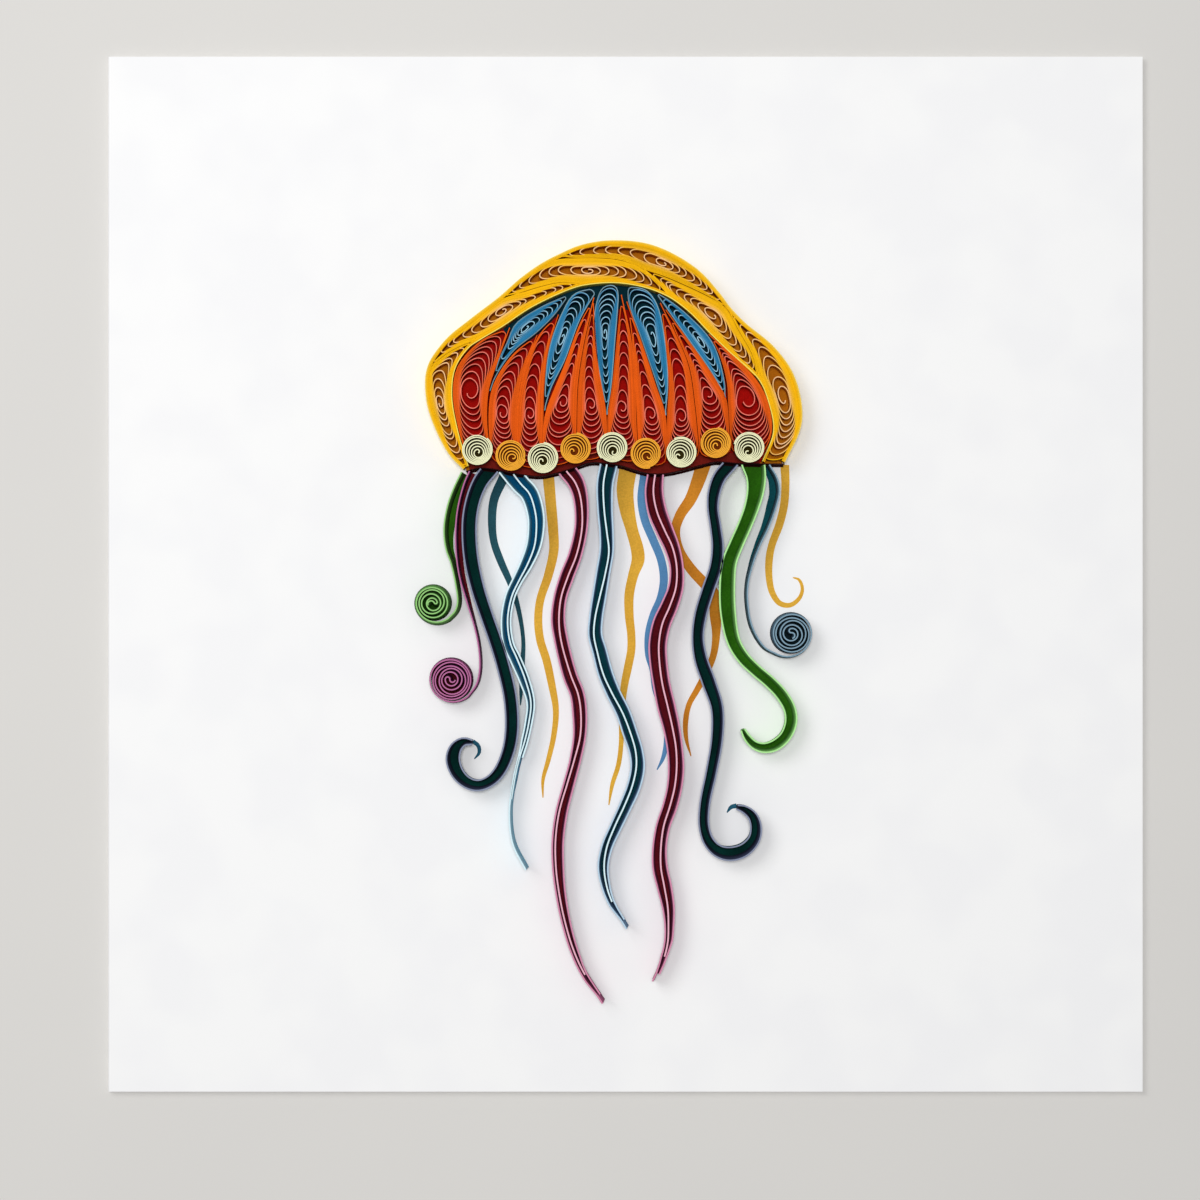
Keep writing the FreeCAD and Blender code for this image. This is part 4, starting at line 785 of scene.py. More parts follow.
def strip_tree() -> bpy.types.GeometryNodeTree:
    """Make the tree that stands a paper strip on edge along a line.

    Returns:
        A tree with named inputs for the paper's thickness, height, lean and finish.
    """
    tree = bpy.data.node_groups.new("standing_paper_strip", "GeometryNodeTree")
    sockets = {"Geometry": "Geometry", "Paper": "Float", "Height": "Float", "Lean": "Float",
               "Finish": "Material"}
    for name, kind in sockets.items():
        tree.interface.new_socket(name, in_out="INPUT", socket_type=f"NodeSocket{kind}")
    tree.interface.new_socket("Geometry", in_out="OUTPUT", socket_type="NodeSocketGeometry")
    given = add_node(tree, "NodeGroupInput").outputs
    line = add_node(tree, "GeometryNodeMeshToCurve", {"Mesh": given["Geometry"]}).outputs["Curve"]
    level = add_node(tree, "GeometryNodeSetCurveNormal", {"Curve": line}, mode="Z_UP").outputs["Curve"]
    profile = add_node(tree, "GeometryNodeCurvePrimitiveQuadrilateral", {
        "Width": given["Paper"], "Height": given["Height"], "Offset": given["Lean"]}, mode="PARALLELOGRAM")
    swept = add_node(tree, "GeometryNodeCurveToMesh", {
        "Curve": level, "Profile Curve": profile.outputs["Curve"], "Fill Caps": True})
    real = add_node(tree, "GeometryNodeRealizeInstances", {"Geometry": swept.outputs["Mesh"]})
    finished = add_node(tree, "GeometryNodeSetMaterial", {
        "Geometry": real.outputs["Geometry"], "Material": given["Finish"]})
    add_node(tree, "NodeGroupOutput", {"Geometry": finished.outputs["Geometry"]})
    return tree


@dataclass
class StripMaker:
    """Stands paper strips on edge, with one shared node tree.

    Attributes:
        tree: the node tree.
    """

    tree: bpy.types.GeometryNodeTree = field(default_factory=strip_tree)

    def stand(self, name: str, line: Sequence[Point], paper: float, foot: float, height: float,
              finish: bpy.types.Material, lean: float = 0.0) -> bpy.types.Object:
        """Stand a strip along a line.

        Args:
            name: the piece's name.
            line: points with x and y, and with the shares free, outer and tone where the strip has them;
                free and outer are painted highlights.
            paper: its thickness.
            foot: height at which it stands.
            height: how high it is.
            finish: its material.
            lean: how far its foot lies to the left of its upper edge.

        Returns:
            The piece, as a plain closed mesh.
        """
        middle = foot + height / 2
        piece = mesh_object(name, [(p[0], p[1], middle) for p in line],
                            [(i, i + 1) for i in range(len(line) - 1)], [])
        if len(line[0]) > 2:
            for place, label in enumerate(SHARES, 2):
                layer = piece.data.attributes.new(label, "FLOAT", "POINT")
                layer.data.foreach_set("value", [p[place] for p in line])
        modifier = piece.modifiers.new("strip", "NODES")
        modifier.node_group = self.tree
        values = {"Paper": paper * MM, "Height": height * MM, "Lean": lean * MM, "Finish": finish}
        for item in self.tree.interface.items_tree:
            if item.in_out == "INPUT" and item.name in values:
                modifier[item.identifier] = values[item.name]
        bpy.context.view_layer.update()
        graph = bpy.context.evaluated_depsgraph_get()
        swept = bpy.data.meshes.new_from_object(piece.evaluated_get(graph), depsgraph=graph)
        piece.modifiers.clear()
        piece.data = swept
        swept.name = name
        outward(swept)
        swept.shade_smooth()
        swept.set_sharp_from_angle(angle=SHARP_EDGE)
        return piece


def placed(piece: bpy.types.Object, slot: str, *nodes: str) -> bpy.types.Object:
    """Tell the frame what a piece is.

    Args:
        piece: the finished piece.
        slot: the record's slot for its finish; not used.
        nodes: the CAD nodes that it stands for.

    Returns:
        The same piece.
    """
    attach(piece, "root")
    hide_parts(*nodes)
    LOG.info("%s: %d faces", piece.name, len(piece.data.polygons))
    return piece


def covered(piece: bpy.types.Object, finish: bpy.types.Material) -> bpy.types.Object:
    """Give a piece one material.

    Args:
        piece: the piece.
        finish: its only material from now on.

    Returns:
        The same piece.
    """
    piece.data.materials.clear()
    piece.data.materials.append(finish)
    return piece


def printed(piece: bpy.types.Object, ink: bpy.types.Material, colour: str) -> None:
    """Ink a film and place it as a part of the print of one colour."""
    placed(covered(piece, ink), f"{colour}_ink", f"{colour}_print")


class Cell:
    """Closed field between two edges that run from one tip, filled by one rolled strip.

    Attributes:
        first: points along one edge.
        second: as many points along the other edge.
        length: length of the field's middle line.
        eye: share of that length at which the coil's eye lies.
    """

    SAMPLES = 161

    def __init__(self, tip: Point, first: Sequence[Point], second: Sequence[Point], eye: Point) -> None:
        """Lay out the field.

        Args:
            tip: the tip that both edges share.
            first: places on one edge.
            second: places on the other edge.
            eye: place of the coil's eye.
        """
        self.first = smooth([tip, *first], self.SAMPLES)
        self.second = smooth([tip, *second], self.SAMPLES)
        middle = [blend(a, b, 0.5) for a, b in zip(self.first, self.second)]
        self.length = length_of(middle)
        nearest = min(range(self.SAMPLES), key=lambda i: distance(middle[i], eye))
        self.eye = nearest / (self.SAMPLES - 1)

    def at(self, share: float) -> tuple[Point, Point]:
        """Find the edges' points that lie across from each other.

        Args:
            share: share of the way along the field.

        Returns:
            The point on the first edge and the one on the second.
        """
        place = min(max(share, 0), 1) * (self.SAMPLES - 1)
        low = min(int(place), self.SAMPLES - 2)
        first = blend(self.first[low], self.first[low + 1], place - low)
        return first, blend(self.second[low], self.second[low + 1], place - low)

    def half(self, share: float) -> float:
        """Half the distance between the edges."""
        return distance(*self.at(share)) / 2

    def end(self, room: float, backwards: bool) -> float:
        """Find where the field, from one of its ends, first has a given room.

        Args:
            room: half the width that is wanted.
            backwards: whether the search starts at the far end and not at the tip.

        Returns:
            The share of the way along the field.
        """
        step = 1 / (self.SAMPLES - 1)
        share, narrow = (1.0, self.half(1.0)) if backwards else (0.0, self.half(0.0))
        for _ in range(self.SAMPLES - 1):
            onward = share - step if backwards else share + step
            wide = self.half(onward)
            if wide >= room:
                part = max(room - narrow, 0) / (wide - narrow) if wide > narrow else 0
                return share + (onward - share) * part
            share, narrow = onward, wide
        return self.eye


@dataclass
class Coil:
    """One strip rolled, let go and pinched into the shape of a cell.

    Attributes:
        cell: the field that it fills.
        turns: how many turns it has.
        seed: fixes its small irregularities.
        paper: thickness of its strip.
        inset: gap between the strip and the cell's edge.
        pitch: greatest distance between bunched turns.
        stretch: length of the eye against its width.
        closing: length of an inner turn's rounded end near the tip, in half widths of the open cell.
        blunt: the same length at the far end.
        facets: points in one turn.
        eye_room: least half width of the eye.
        hook: points in the hook of its inner end.
        lit: turns, from the outside, that carry the outer colour, a painted highlight.
    """

    cell: Cell
    turns: int
    seed: int
    paper: float = BELL_PAPER
    inset: float = GLUE_GAP / 2
    pitch: float = TURN_PITCH
    stretch: float = 1.3
    closing: float = 1.7
    blunt: float = 1.15
    facets: int = 56
    eye_room: float = 0.7
    hook: int = 14
    lit: float = 0.0

    def line(self) -> Line:
        """Middle line of the strip, from the outside to its eye.

        Returns:
            Points with x, y and the shares free (a painted highlight on the cut edge of open turns), outer
            (a painted highlight) and tone.
        """
        cell = self.cell
        rng = random.Random(self.seed)
        outer = self.inset + self.paper / 2
        widest = cell.half(cell.eye)
        pitch = min(self.pitch, (widest - outer - self.eye_room) / self.turns)
        eye_half = widest - outer - pitch * self.turns
        reach = eye_half * self.stretch / cell.length
        drift = [rng.uniform(-DRIFT, DRIFT) for _ in range(2 * self.turns + 2)]
        tones = [rng.random() for _ in range(2 * self.turns + 2)]
        points: Line = []
        for step in range(self.turns * self.facets + 1):
            turn = step / self.facets
            done = turn / self.turns
            opened = min(max(turn - OPENS_AT, 0) / OPENS_OVER, 1)
            inset = outer + turn * pitch
            index = min(int(turn * 2), 2 * self.turns)
            loose = drift[index] + (drift[index + 1] - drift[index]) * (turn * 2 - index)
            even_done = done + loose * math.sin(math.pi * done) / self.turns
            # The first half turn is pinched right into both tips, the others leave room there
            released = min(opened / RELEASED_BY, 1)
            room = inset + OUTER_ROOM + (INNER_ROOM - OUTER_ROOM) * opened
            start = max(cell.end(room, False) * released, (cell.eye - reach) * even_done)
            finish = min(1 - (1 - cell.end(room, True)) * released, 1 - (1 - cell.eye - reach) * even_done)
            angle = 2 * math.pi * turn
            share = (start + finish) / 2 - (finish - start) / 2 * math.cos(angle)
            first, second = cell.at(share)
            half = max(distance(first, second) / 2 - inset, LEAST_HALF)
            gap = min(share - start, finish - share) * cell.length
            closing = self.closing if share - start < finish - share else self.blunt
            close = min(gap / ((OUTER_CLOSING + (closing - OUTER_CLOSING) * opened) * half), 1)
            across = half * math.sqrt(max(1 - (1 - close) ** 2, 0)) * (1 if math.sin(angle) >= 0 else -1)
            # Painted highlight: the cut edge is paler where the turn crosses the open cell, and again
            # towards the eye.
            free = max(0.0, 1 - close * FREE_REACH) ** FREE_FADE * opened
            length = distance(first, second) or 1.0
            middle = blend(first, second, 0.5)
            place = (middle[0] + (second[0] - first[0]) / length * across,
                     middle[1] + (second[1] - first[1]) / length * across)
            lit = 1.0 if turn < self.lit else 0.0
            points.append((*place, max(free, done ** EYE_FADE), lit, tones[index]))
        return points + self.curl(points[-1], eye_half)

    def curl(self, last: Point, radius: float) -> Line:
        """Inner end of the strip, which hooks back inside the last turn.

        Args:
            last: the last point of the turns.
            radius: half the width of the last turn.

        Returns:
            The points of the hook.
        """
        first, second = self.cell.at(self.cell.eye)
        middle = blend(first, second, 0.5)
        angle = math.atan2(last[1] - middle[1], last[0] - middle[0])
        towards = math.atan2(second[1] - first[1], second[0] - first[0])
        sweep = 1 if math.sin(towards - angle) > 0 else -1
        rng = random.Random(self.seed + 1)
        around = math.radians(rng.uniform(*HOOK_ANGLES))
        shrink = rng.uniform(*HOOK_SHRINKS)
        result: Line = []
        for step in range(1, self.hook + 1):
            share = step / self.hook
            turned = sweep * around * share
            along = math.cos(turned) * radius * self.stretch * (1 - shrink * share)
            across = math.sin(turned) * radius * (1 - shrink * share)
            # The hook's cut edge carries the full painted highlight.
            result.append((middle[0] + math.cos(angle) * along - math.sin(angle) * across,
                           middle[1] + math.sin(angle) * along + math.cos(angle) * across,
                           1.0, 0.0, HOOK_TONE))
        return result


def hem_level(x: float) -> float:
    """Height of the hem's middle line.

    Args:
        x: place across the card.

    Returns:
        Its y there.
    """
    if x <= HEM[0][0]:
        return HEM[0][1]
    for a, b in zip(HEM, HEM[1:]):
        if x <= b[0]:
            return a[1] + (b[1] - a[1]) * (x - a[0]) / (b[0] - a[0])
    return HEM[-1][1]


def led_in(route: Sequence[Point], reach: float = 2.5) -> Line:
    """Lead a route in from above its start.

    Args:
        route: its points.
        reach: how far before the start, and in line with it, the added point lies.

    Returns:
        The route with that point before it.
    """
    first, second = route[0], route[1]
    back = blend(first, second, -reach / distance(first, second))
    return [(*back[:2], *first[2:]), *route]


def below_hem(lines: Sequence[Sequence[Point]], clearance: float) -> list[Line]:
    """The parts of some lines that lie under the hem, cut off where they cross it.

    Args:
        lines: lines of one length that run side by side from above the hem down.
        clearance: how far below the hem's middle they have to start.

    Returns:
        The cut lines, again of one length.
    """
    firsts = []
    for line in lines:
        clear = [p[1] < hem_level(p[0]) - clearance for p in line]
        firsts.append(max(clear.index(True) if True in clear else 0, 1))
    start = min(firsts)
    result = []
    for line, first in zip(lines, firsts):
        above, below = line[first - 1], line[first]
        over = above[1] - hem_level(above[0]) + clearance
        under = hem_level(below[0]) - clearance - below[1]
        cut = blend(above, below, over / (over + under) if over > 0 and under > 0 else 0)
        extra = first - start + 1
        result.append([blend(cut, below, k / extra) for k in range(extra)] + list(line[first:]))
    return result


@dataclass
class Card:
    """Folded card, whose CAD node is dressed as it is."""

    node: str = "card"
    finish: CardBoard = WHITE_BOARD

    def build(self, nodes: dict[str, bpy.types.Object]) -> None:
        """Dress the card.

        Args:
            nodes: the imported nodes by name.
        """
        material = self.finish.material()
        for slot in nodes[self.node].material_slots:
            slot.material = material
        LOG.info("card: dressed in %s", material.name)


@dataclass
class BellGround:
    """Printed grounds under the bell, in three tones.

    Attributes:
        rim_top: height of the print under the rim.
        petal_top: height of the print under the petals.
        drop_top: height of the print under the teardrops.
        hem_spacing: distance between points of the prints along the hem.
        hem_band: width of the dark print that shows below the hem.
        hem_lap: how far that print reaches in under the bell.
        shade_band: width of the dark band of painted shade between the petals' feet and the hem.
        crown: width of the dark print that shows between the teardrops' heads and the arch.
        crown_top: height of these two films.
        crown_taper: share of half a wave that is left off at each end of the crown's print.
        inset: how far the print stays inside the bell's outline.
        points: points along each long edge.
        drop_points: points along each edge of a teardrop.
    """

    rim_top: float = CARD_TOP + 0.02
    petal_top: float = CARD_TOP + 0.035
    drop_top: float = INK_TOP
    hem_spacing: float = 0.5
    hem_band: float = 0.35
    hem_lap: float = 0.1
    shade_band: float = 1.6
    crown: float = 3.5
    crown_top: float = CARD_TOP + 0.045
    crown_taper: float = 0.08
    inset: float = 0.2
    points: int = 90
    drop_points: int = 30

    def build(self) -> None:
        """Make the grounds."""
        hem = smooth(HEM, self.points)[::-1]
        outer = beside(smooth(OUTLINE, self.points), -self.inset)
        printed(patch("rim_ground", outer + hem, self.rim_top), RIM_INK.material(), "orange")
        foot = self.under_petals(hem)
        petals = patch("petal_ground", smooth(ARCH, self.points) + foot, self.petal_top)
        printed(petals, PETAL_INK.material(), "maroon")
        line = even(HEM, self.hem_spacing)
        band = film("hem_ground", beside(line, self.hem_lap), beside(line, -self.hem_band), INK_TOP)
        printed(band, HEM_INK.material(), "maroon")
        # A band of painted shade along the petals' feet, just above the hem.
        line = self.under_petals(line)
        band = film("petal_foot_shade", beside(line, self.shade_band), beside(line, 0.0), self.crown_top)
        printed(band, PETAL_FOOT_SHADE.material(), "maroon")
        drop_ink = DROP_INK.material()
        crown = smooth(ARCH_RISE + ARCH_TOP + ARCH_FALL[:2], self.points)
        waves = [self.crown_taper + (1 - 2 * self.crown_taper) * k / (self.points - 1)
                 for k in range(self.points)]
        inner = beside(crown, [-self.crown * math.sin(math.pi * wave) for wave in waves])
        printed(film("crown_ground", crown, inner, self.crown_top), drop_ink, "teal")
        for number, (tip, left, right, _) in enumerate(TEARDROP_CELLS, 1):
            up, down = (smooth([tip, *edge], self.drop_points) for edge in (left, right))
            ground = patch(f"teardrop_ground_{number:02d}", up + down[:0:-1], self.drop_top)
            printed(ground, drop_ink, "teal")

    def under_petals(self, line: Line) -> Line:
        """The points of a line that lie between the arch's two ends."""
        return [p for p in line if ARCH[0][0] < p[0] < ARCH[-1][0]]


@dataclass
class Bell:
    """Rolled and pinched coils of the rim, the teardrops and the petals, and the hem under them.

    Attributes:
        maker: stands the strips.
        spacing: distance between points along the hem and the wraps.
        wrap_pitch: distance between the layers of a wrap.
        wrap_rise: how far a wrap stands above the coils.
        wrap_out: how far the outline's wrap lies outside the coils, so that no coil shows through it.
    """

    maker: StripMaker
    spacing: float = 0.4
    wrap_pitch: float = 0.14
    wrap_rise: float = 0.04
    wrap_out: float = 0.16

    def build(self) -> None:
        """Make the coils and the hem."""
        groups = (("rim_coil", RIM_CELLS, RIM_TURNS, RIM_PAPER, "yellow_paper",
                   {"paper": 0.15, "facets": 80, "inset": -0.03, "blunt": 1.7, "stretch": 2.0,
                    "eye_room": 0.5}),
                  ("teardrop_coil", TEARDROP_CELLS, TEARDROP_TURNS, DROP_PAPER, "blue_paper",
                   {"eye_room": 0.35, "stretch": 3.0, "closing": 2.2, "lit": 1.0}),
                  ("petal_coil", PETAL_CELLS, PETAL_TURNS, PETAL_PAPER, "coral_paper",
                   {"inset": -0.07, "pitch": 0.142}))
        for kind, cells, turns, paper, slot, shape in groups:
            finish = paper.material()
            for number, cell in enumerate(cells, 1):
                node = f"{kind}_{number:02d}"
                coil = Coil(Cell(*cell), turns, seed=number + 10 * turns, **shape)
                piece = self.maker.stand(f"{node}_strip", coil.line(), coil.paper, INK_TOP, STRIP_HEIGHT,
                                         finish)
                placed(piece, slot, node)
            if kind == "rim_coil":
                self.wrap(finish)
        hem = self.maker.stand("hem_edge", even(HEM, self.spacing), BELL_PAPER, INK_TOP, STRIP_HEIGHT,
                               WINE_PAPER.material())
        placed(hem, "wine_paper", "hem_strip")

    def wrap(self, finish: bpy.types.Material) -> None:
        """Wrap the rim's coils in strips that follow the bell's outline and the arch.

        Args:
            finish: the rim's material.
        """
        height = STRIP_HEIGHT + self.wrap_rise
        nodes = [f"rim_coil_{number:02d}" for number in range(1, len(RIM_CELLS) + 1)]
        for name, places, side, out, painted_highlights in (("outline", OUTLINE, -1, self.wrap_out, OUTLINE_PAINTED_HALO),
                                              ("arch", ARCH, 1, 0.0, ARCH_PAINTED_HIGHLIGHT)):
            # Each layer's outer colour is a painted highlight, a painted halo along the outline.
            for layer, pale in enumerate(painted_highlights):
                inset = BELL_PAPER / 2 + layer * self.wrap_pitch - out
                line = [(*p, 0.0, pale, WRAP_TONES[layer % 2])
                        for p in beside(even(places, self.spacing), side * inset)]
                piece = self.maker.stand(f"rim_{name}_wrap_{layer + 1}", line, BELL_PAPER, INK_TOP, height,
                                         finish)
                placed(piece, "yellow_paper", *nodes)


@dataclass
class BeadRow:
    """Rolled beads, a second layer on the feet of the petals.

    Attributes:
        maker: stands the strips.
        radius: outer radius of a bead.
        height: width of its strip.
        paper: thickness of its strip.
        turns: how many turns it has.
        tight: how many of them lie tight all round.
        pitch: distance between turns where they lie tight.
        open_pitch: distance between the inner turns on the side where they gape.
        facets: points in a turn.
        hook: points in the half turn at its inner end.
        swing: how far, in degrees, the gaping side may lie off the top.
        back: thickness of the dark disc under each bead, painted shade seen down its eye.
    """

    maker: StripMaker
    radius: float = 2.3
    height: float = 1.6
    paper: float = 0.165
    turns: float = 5.8
    tight: float = 1.6
    pitch: float = 0.19
    open_pitch: float = 0.45
    facets: int = 30
    hook: int = 9
    swing: float = 30
    back: float = 0.04

    def line(self, middle: Point, seed: int) -> Line:
        """Middle line of one bead's strip, from the outside in.

        Args:
            middle: the bead's middle.
            seed: fixes where its strip ends and how its eye lies.

        Returns:
            The points.
        """
        rng = random.Random(seed)
        turned = rng.uniform(0, 360)
        swing = math.radians(rng.uniform(-self.swing, self.swing))
        outer = self.radius - self.paper / 2
        points: Line = []
        for step in range(round(self.turns * self.facets) + 1):
            turn = step / self.facets
            loose = max(turn - self.tight, 0)
            near = outer - self.pitch * turn
            far = near - (self.open_pitch - self.pitch) * loose
            reach, low = (near + far) / 2, (near - far) / 2
            angle = math.radians(turned) - 2 * math.pi * turn
            points.append((middle[0] + math.cos(angle) * reach + math.sin(swing) * low,
                           middle[1] + math.sin(angle) * reach - math.cos(swing) * low))
        # The inner end turns back to the middle of its last turn
        half = reach / 2
        centre = (points[-1][0] - math.cos(angle) * half, points[-1][1] - math.sin(angle) * half)
        for step in range(1, self.hook + 1):
            bent = angle - math.pi * step / self.hook
            points.append((centre[0] + math.cos(bent) * half, centre[1] + math.sin(bent) * half))
        return points

    def build(self) -> None:
        """Make the beads."""
        cream = CREAM_PAPER.material(STRIP_TOP, STRIP_TOP + self.height)
        apricot = APRICOT_PAPER.material(STRIP_TOP, STRIP_TOP + self.height)
        olive, brown = OLIVE_EYE_SHADE.material(), BROWN_EYE_SHADE.material()
        for number, middle in enumerate(BEADS, 1):
            kind, finish, slot, eye_shade = (("cream", cream, "cream_paper", olive) if number % 2
                                         else ("orange", apricot, "apricot_paper", brown))
            node = f"{kind}_bead_{number:02d}"
            # A dark disc under each bead, painted shade in its eye.
            reach = self.radius - self.paper
            disc = patch(f"{node}_back", circle(middle, reach), STRIP_TOP + self.back, STRIP_TOP)
            placed(covered(disc, eye_shade), slot, node)
            piece = self.maker.stand(f"{node}_strip", self.line(middle, number), self.paper, STRIP_TOP,
                                     self.height, finish)
            placed(piece, slot, node)


@dataclass(frozen=True)
class TentacleLook:
    """How one tentacle of two or three strips is coloured.

    Attributes:
        route: its middle line with the distances to its outer strips.
        ink: its printed ground.
        colour: the colour that the record's slot and the CAD print of that ground are named for.
        outer: paper of its outer strips.
        middle: paper of its middle strip.
        slot: the record's slot of its strips.
    """

    route: Sequence[Point]
    ink: InkPrint
    colour: str
    outer: QuillingPaper
    middle: QuillingPaper
    slot: str


TENTACLES = {
    "tentacle_03_teal": TentacleLook(
        TENTACLE_3, BLACK_TEAL_INK, "teal", SLATE_STRIP, SLATE_STRIP, "slate_paper"),
    "tentacle_04_blue": TentacleLook(
        TENTACLE_4, BLUE_INK, "blue", PALE_STRIP, PALE_STRIP, "pale_blue_paper"),
    "tentacle_05_maroon": TentacleLook(
        TENTACLE_5, MAROON_INK, "maroon", ROSE_STRIP, PINK_STRIP, "pink_paper"),
    "tentacle_06_teal": TentacleLook(
        TENTACLE_6, SEA_INK, "teal", STEEL_STRIP, PALE_STRIP, "slate_paper"),
    "tentacle_07_maroon": TentacleLook(
        TENTACLE_7, MAROON_INK, "maroon", ROSE_STRIP, PINK_STRIP, "pink_paper"),
    "tentacle_08_teal": TentacleLook(
        TENTACLE_8, BLACK_TEAL_INK, "teal", SLATE_STRIP, SLATE_STRIP, "slate_paper"),
    "tentacle_09_green": TentacleLook(
        TENTACLE_9, GREEN_INK, "green", GREEN_STRIP, GREEN_STRIP, "green_paper"),
}
# How far before the tip of a tentacle of three strips its left and its middle strip end
SHORT_ENDS = {"tentacle_04_blue": (17.0, 11.0), "tentacle_05_maroon": (1.5, 5.0),
              "tentacle_06_teal": (1.5, 4.5), "tentacle_07_maroon": (1.2, 4.0)}


@dataclass
class Tentacles:
    """Tentacles of two or three strips, each over a printed ground.

    Attributes:
        maker: stands the strips.
        spacing: distance between points.
        lean: how far an outer strip's foot lies outside its upper edge.
        margin: how far the print reaches past the strips.
        closing: length over which the strips that are left close up where another ends.
        print_top: height of the print's upper face.
    """

    maker: StripMaker
    spacing: float = 0.45
    lean: float = 0.32
    margin: float = 0.1
    closing: float = 2.5
    print_top: float = CARD_TOP + 0.04

    def build(self) -> None:
        """Make every tentacle of this kind."""
        finishes: dict[str, bpy.types.Material] = {}
        for name, look in TENTACLES.items():
            for paper in (look.outer, look.middle):
                if paper.dye not in finishes:
                    finishes[paper.dye] = paper.material()
            self.tentacle(name, look, finishes)

    def tentacle(self, name: str, look: TentacleLook, finishes: dict[str, bpy.types.Material]) -> None:
        """Make one tentacle.

        Args:
            name: start of its nodes' names.
            look: its route and colours.
            finishes: the strips' materials by colour name.
        """
        line = even(led_in(look.route), self.spacing)
        strips = 3 if len(look.route[0]) > 3 else 2
        pitch = TENTACLE_PAPER + GLUE_GAP
        least = pitch * (strips - 1) / 2
        left_short, middle_short = SHORT_ENDS.get(name, (0.0, 0.0))
        steps = [round(short / self.spacing) for short in (left_short, 0, middle_short)]
        wide = [[max(p[k], least) for p in line] for k in (2, -1)]
        last = len(line) - 1
        if strips == 3:
            # The left strip closes up where the middle one ends, and the right one where the left one ends
            for widths, room, short in zip(wide, (pitch / 2, 0.0), (middle_short, left_short)):
                for i in range(len(line)):
                    share = (short + self.closing - (last - i) * self.spacing) / self.closing
                    widths[i] += (room - widths[i]) * min(max(share, 0), 1)
        left, right = beside(line, wide[0]), beside(line, [-w for w in wide[1]])
        clearance = GLUE_GAP + TENTACLE_PAPER / 2
        parts = [("a", left, Side.LEFT, look.outer), ("b", right, Side.RIGHT, look.outer)]
        if strips == 3:
            parts.append(("c", [p[:2] for p in line], Side.MIDDLE, look.middle))
        for (letter, run, side, paper), short in zip(parts, steps):
            run = below_hem([run[:len(run) - short]], clearance)[0]
            piece = self.maker.stand(f"{name}_{letter}_strip", run, TENTACLE_PAPER, INK_TOP, STRIP_HEIGHT,
                                     finishes[paper.dye], self.lean * side.value)
            placed(piece, look.slot, f"{name}_{letter}")
        sides = [beside(left, self.margin), beside(right, -self.margin)]
        ground = film(f"{name}_ground", *below_hem(sides, 0), self.print_top)
        printed(ground, look.ink.material(), look.colour)


@dataclass(frozen=True)
class RollLook:
    """How one tentacle of a single strip with a rolled end is shaped and coloured.

    Attributes:
        route: its line from the hem down.
        middle: middle of its roll.
        sweep: direction of the roll.
        turns: how many turns it has.
        entry: how much closer to the middle the strip comes as it enters the roll.
        lean: how far its foot lies to the left of its upper edge.
        sag: how far the turns halfway in lie off the middle, and in which direction in degrees.
        paper: the strip's paper.
        slot: the record's slot of the strip.
        widths: widths of the print beside it, from the hem down.
        roll_shade: dark disc under the roll, painted shade between its turns.
        ink: the print beside the route.
        colour: the colour that the record's slot and the CAD print of both are named for.
    """

    route: Sequence[Point]
    middle: Point
    sweep: int
    turns: float
    entry: float
    lean: float
    sag: tuple[float, float]
    paper: QuillingPaper
    slot: str
    widths: Sequence[float]
    roll_shade: InkPrint
    ink: InkPrint
    colour: str


ROLLS = {
    "tentacle_01_green": RollLook(
        GREEN_ROLL, (-28.1, -4.3), sweep=-1, turns=3.8, entry=0.65, lean=-0.42, sag=(0.16, 150),
        paper=GREEN_ROLL_PAPER, slot="green_paper", widths=GREEN_BAND, roll_shade=LEAF_ROLL_SHADE, ink=GREEN_INK,
        colour="green"),
    "tentacle_02_mauve": RollLook(
        MAUVE_ROLL, (-25.55, -15.4), sweep=-1, turns=5.4, entry=0.45, lean=-0.2, sag=(0.22, -50),
        paper=MAUVE_STRIP, slot="mauve_paper", widths=MAUVE_BAND, roll_shade=WINE_ROLL_SHADE, ink=MAROON_INK,
        colour="maroon"),
    "tentacle_10_blue": RollLook(
        BLUE_ROLL, (24.3, -8.7), sweep=1, turns=4.6, entry=0.7, lean=0.25, sag=(0.08, -60),
        paper=BLUE_ROLL_PAPER, slot="pale_blue_paper", widths=BLUE_BAND, roll_shade=NIGHT_ROLL_SHADE, ink=ROLL_TEAL_INK,
        colour="blue"),
}


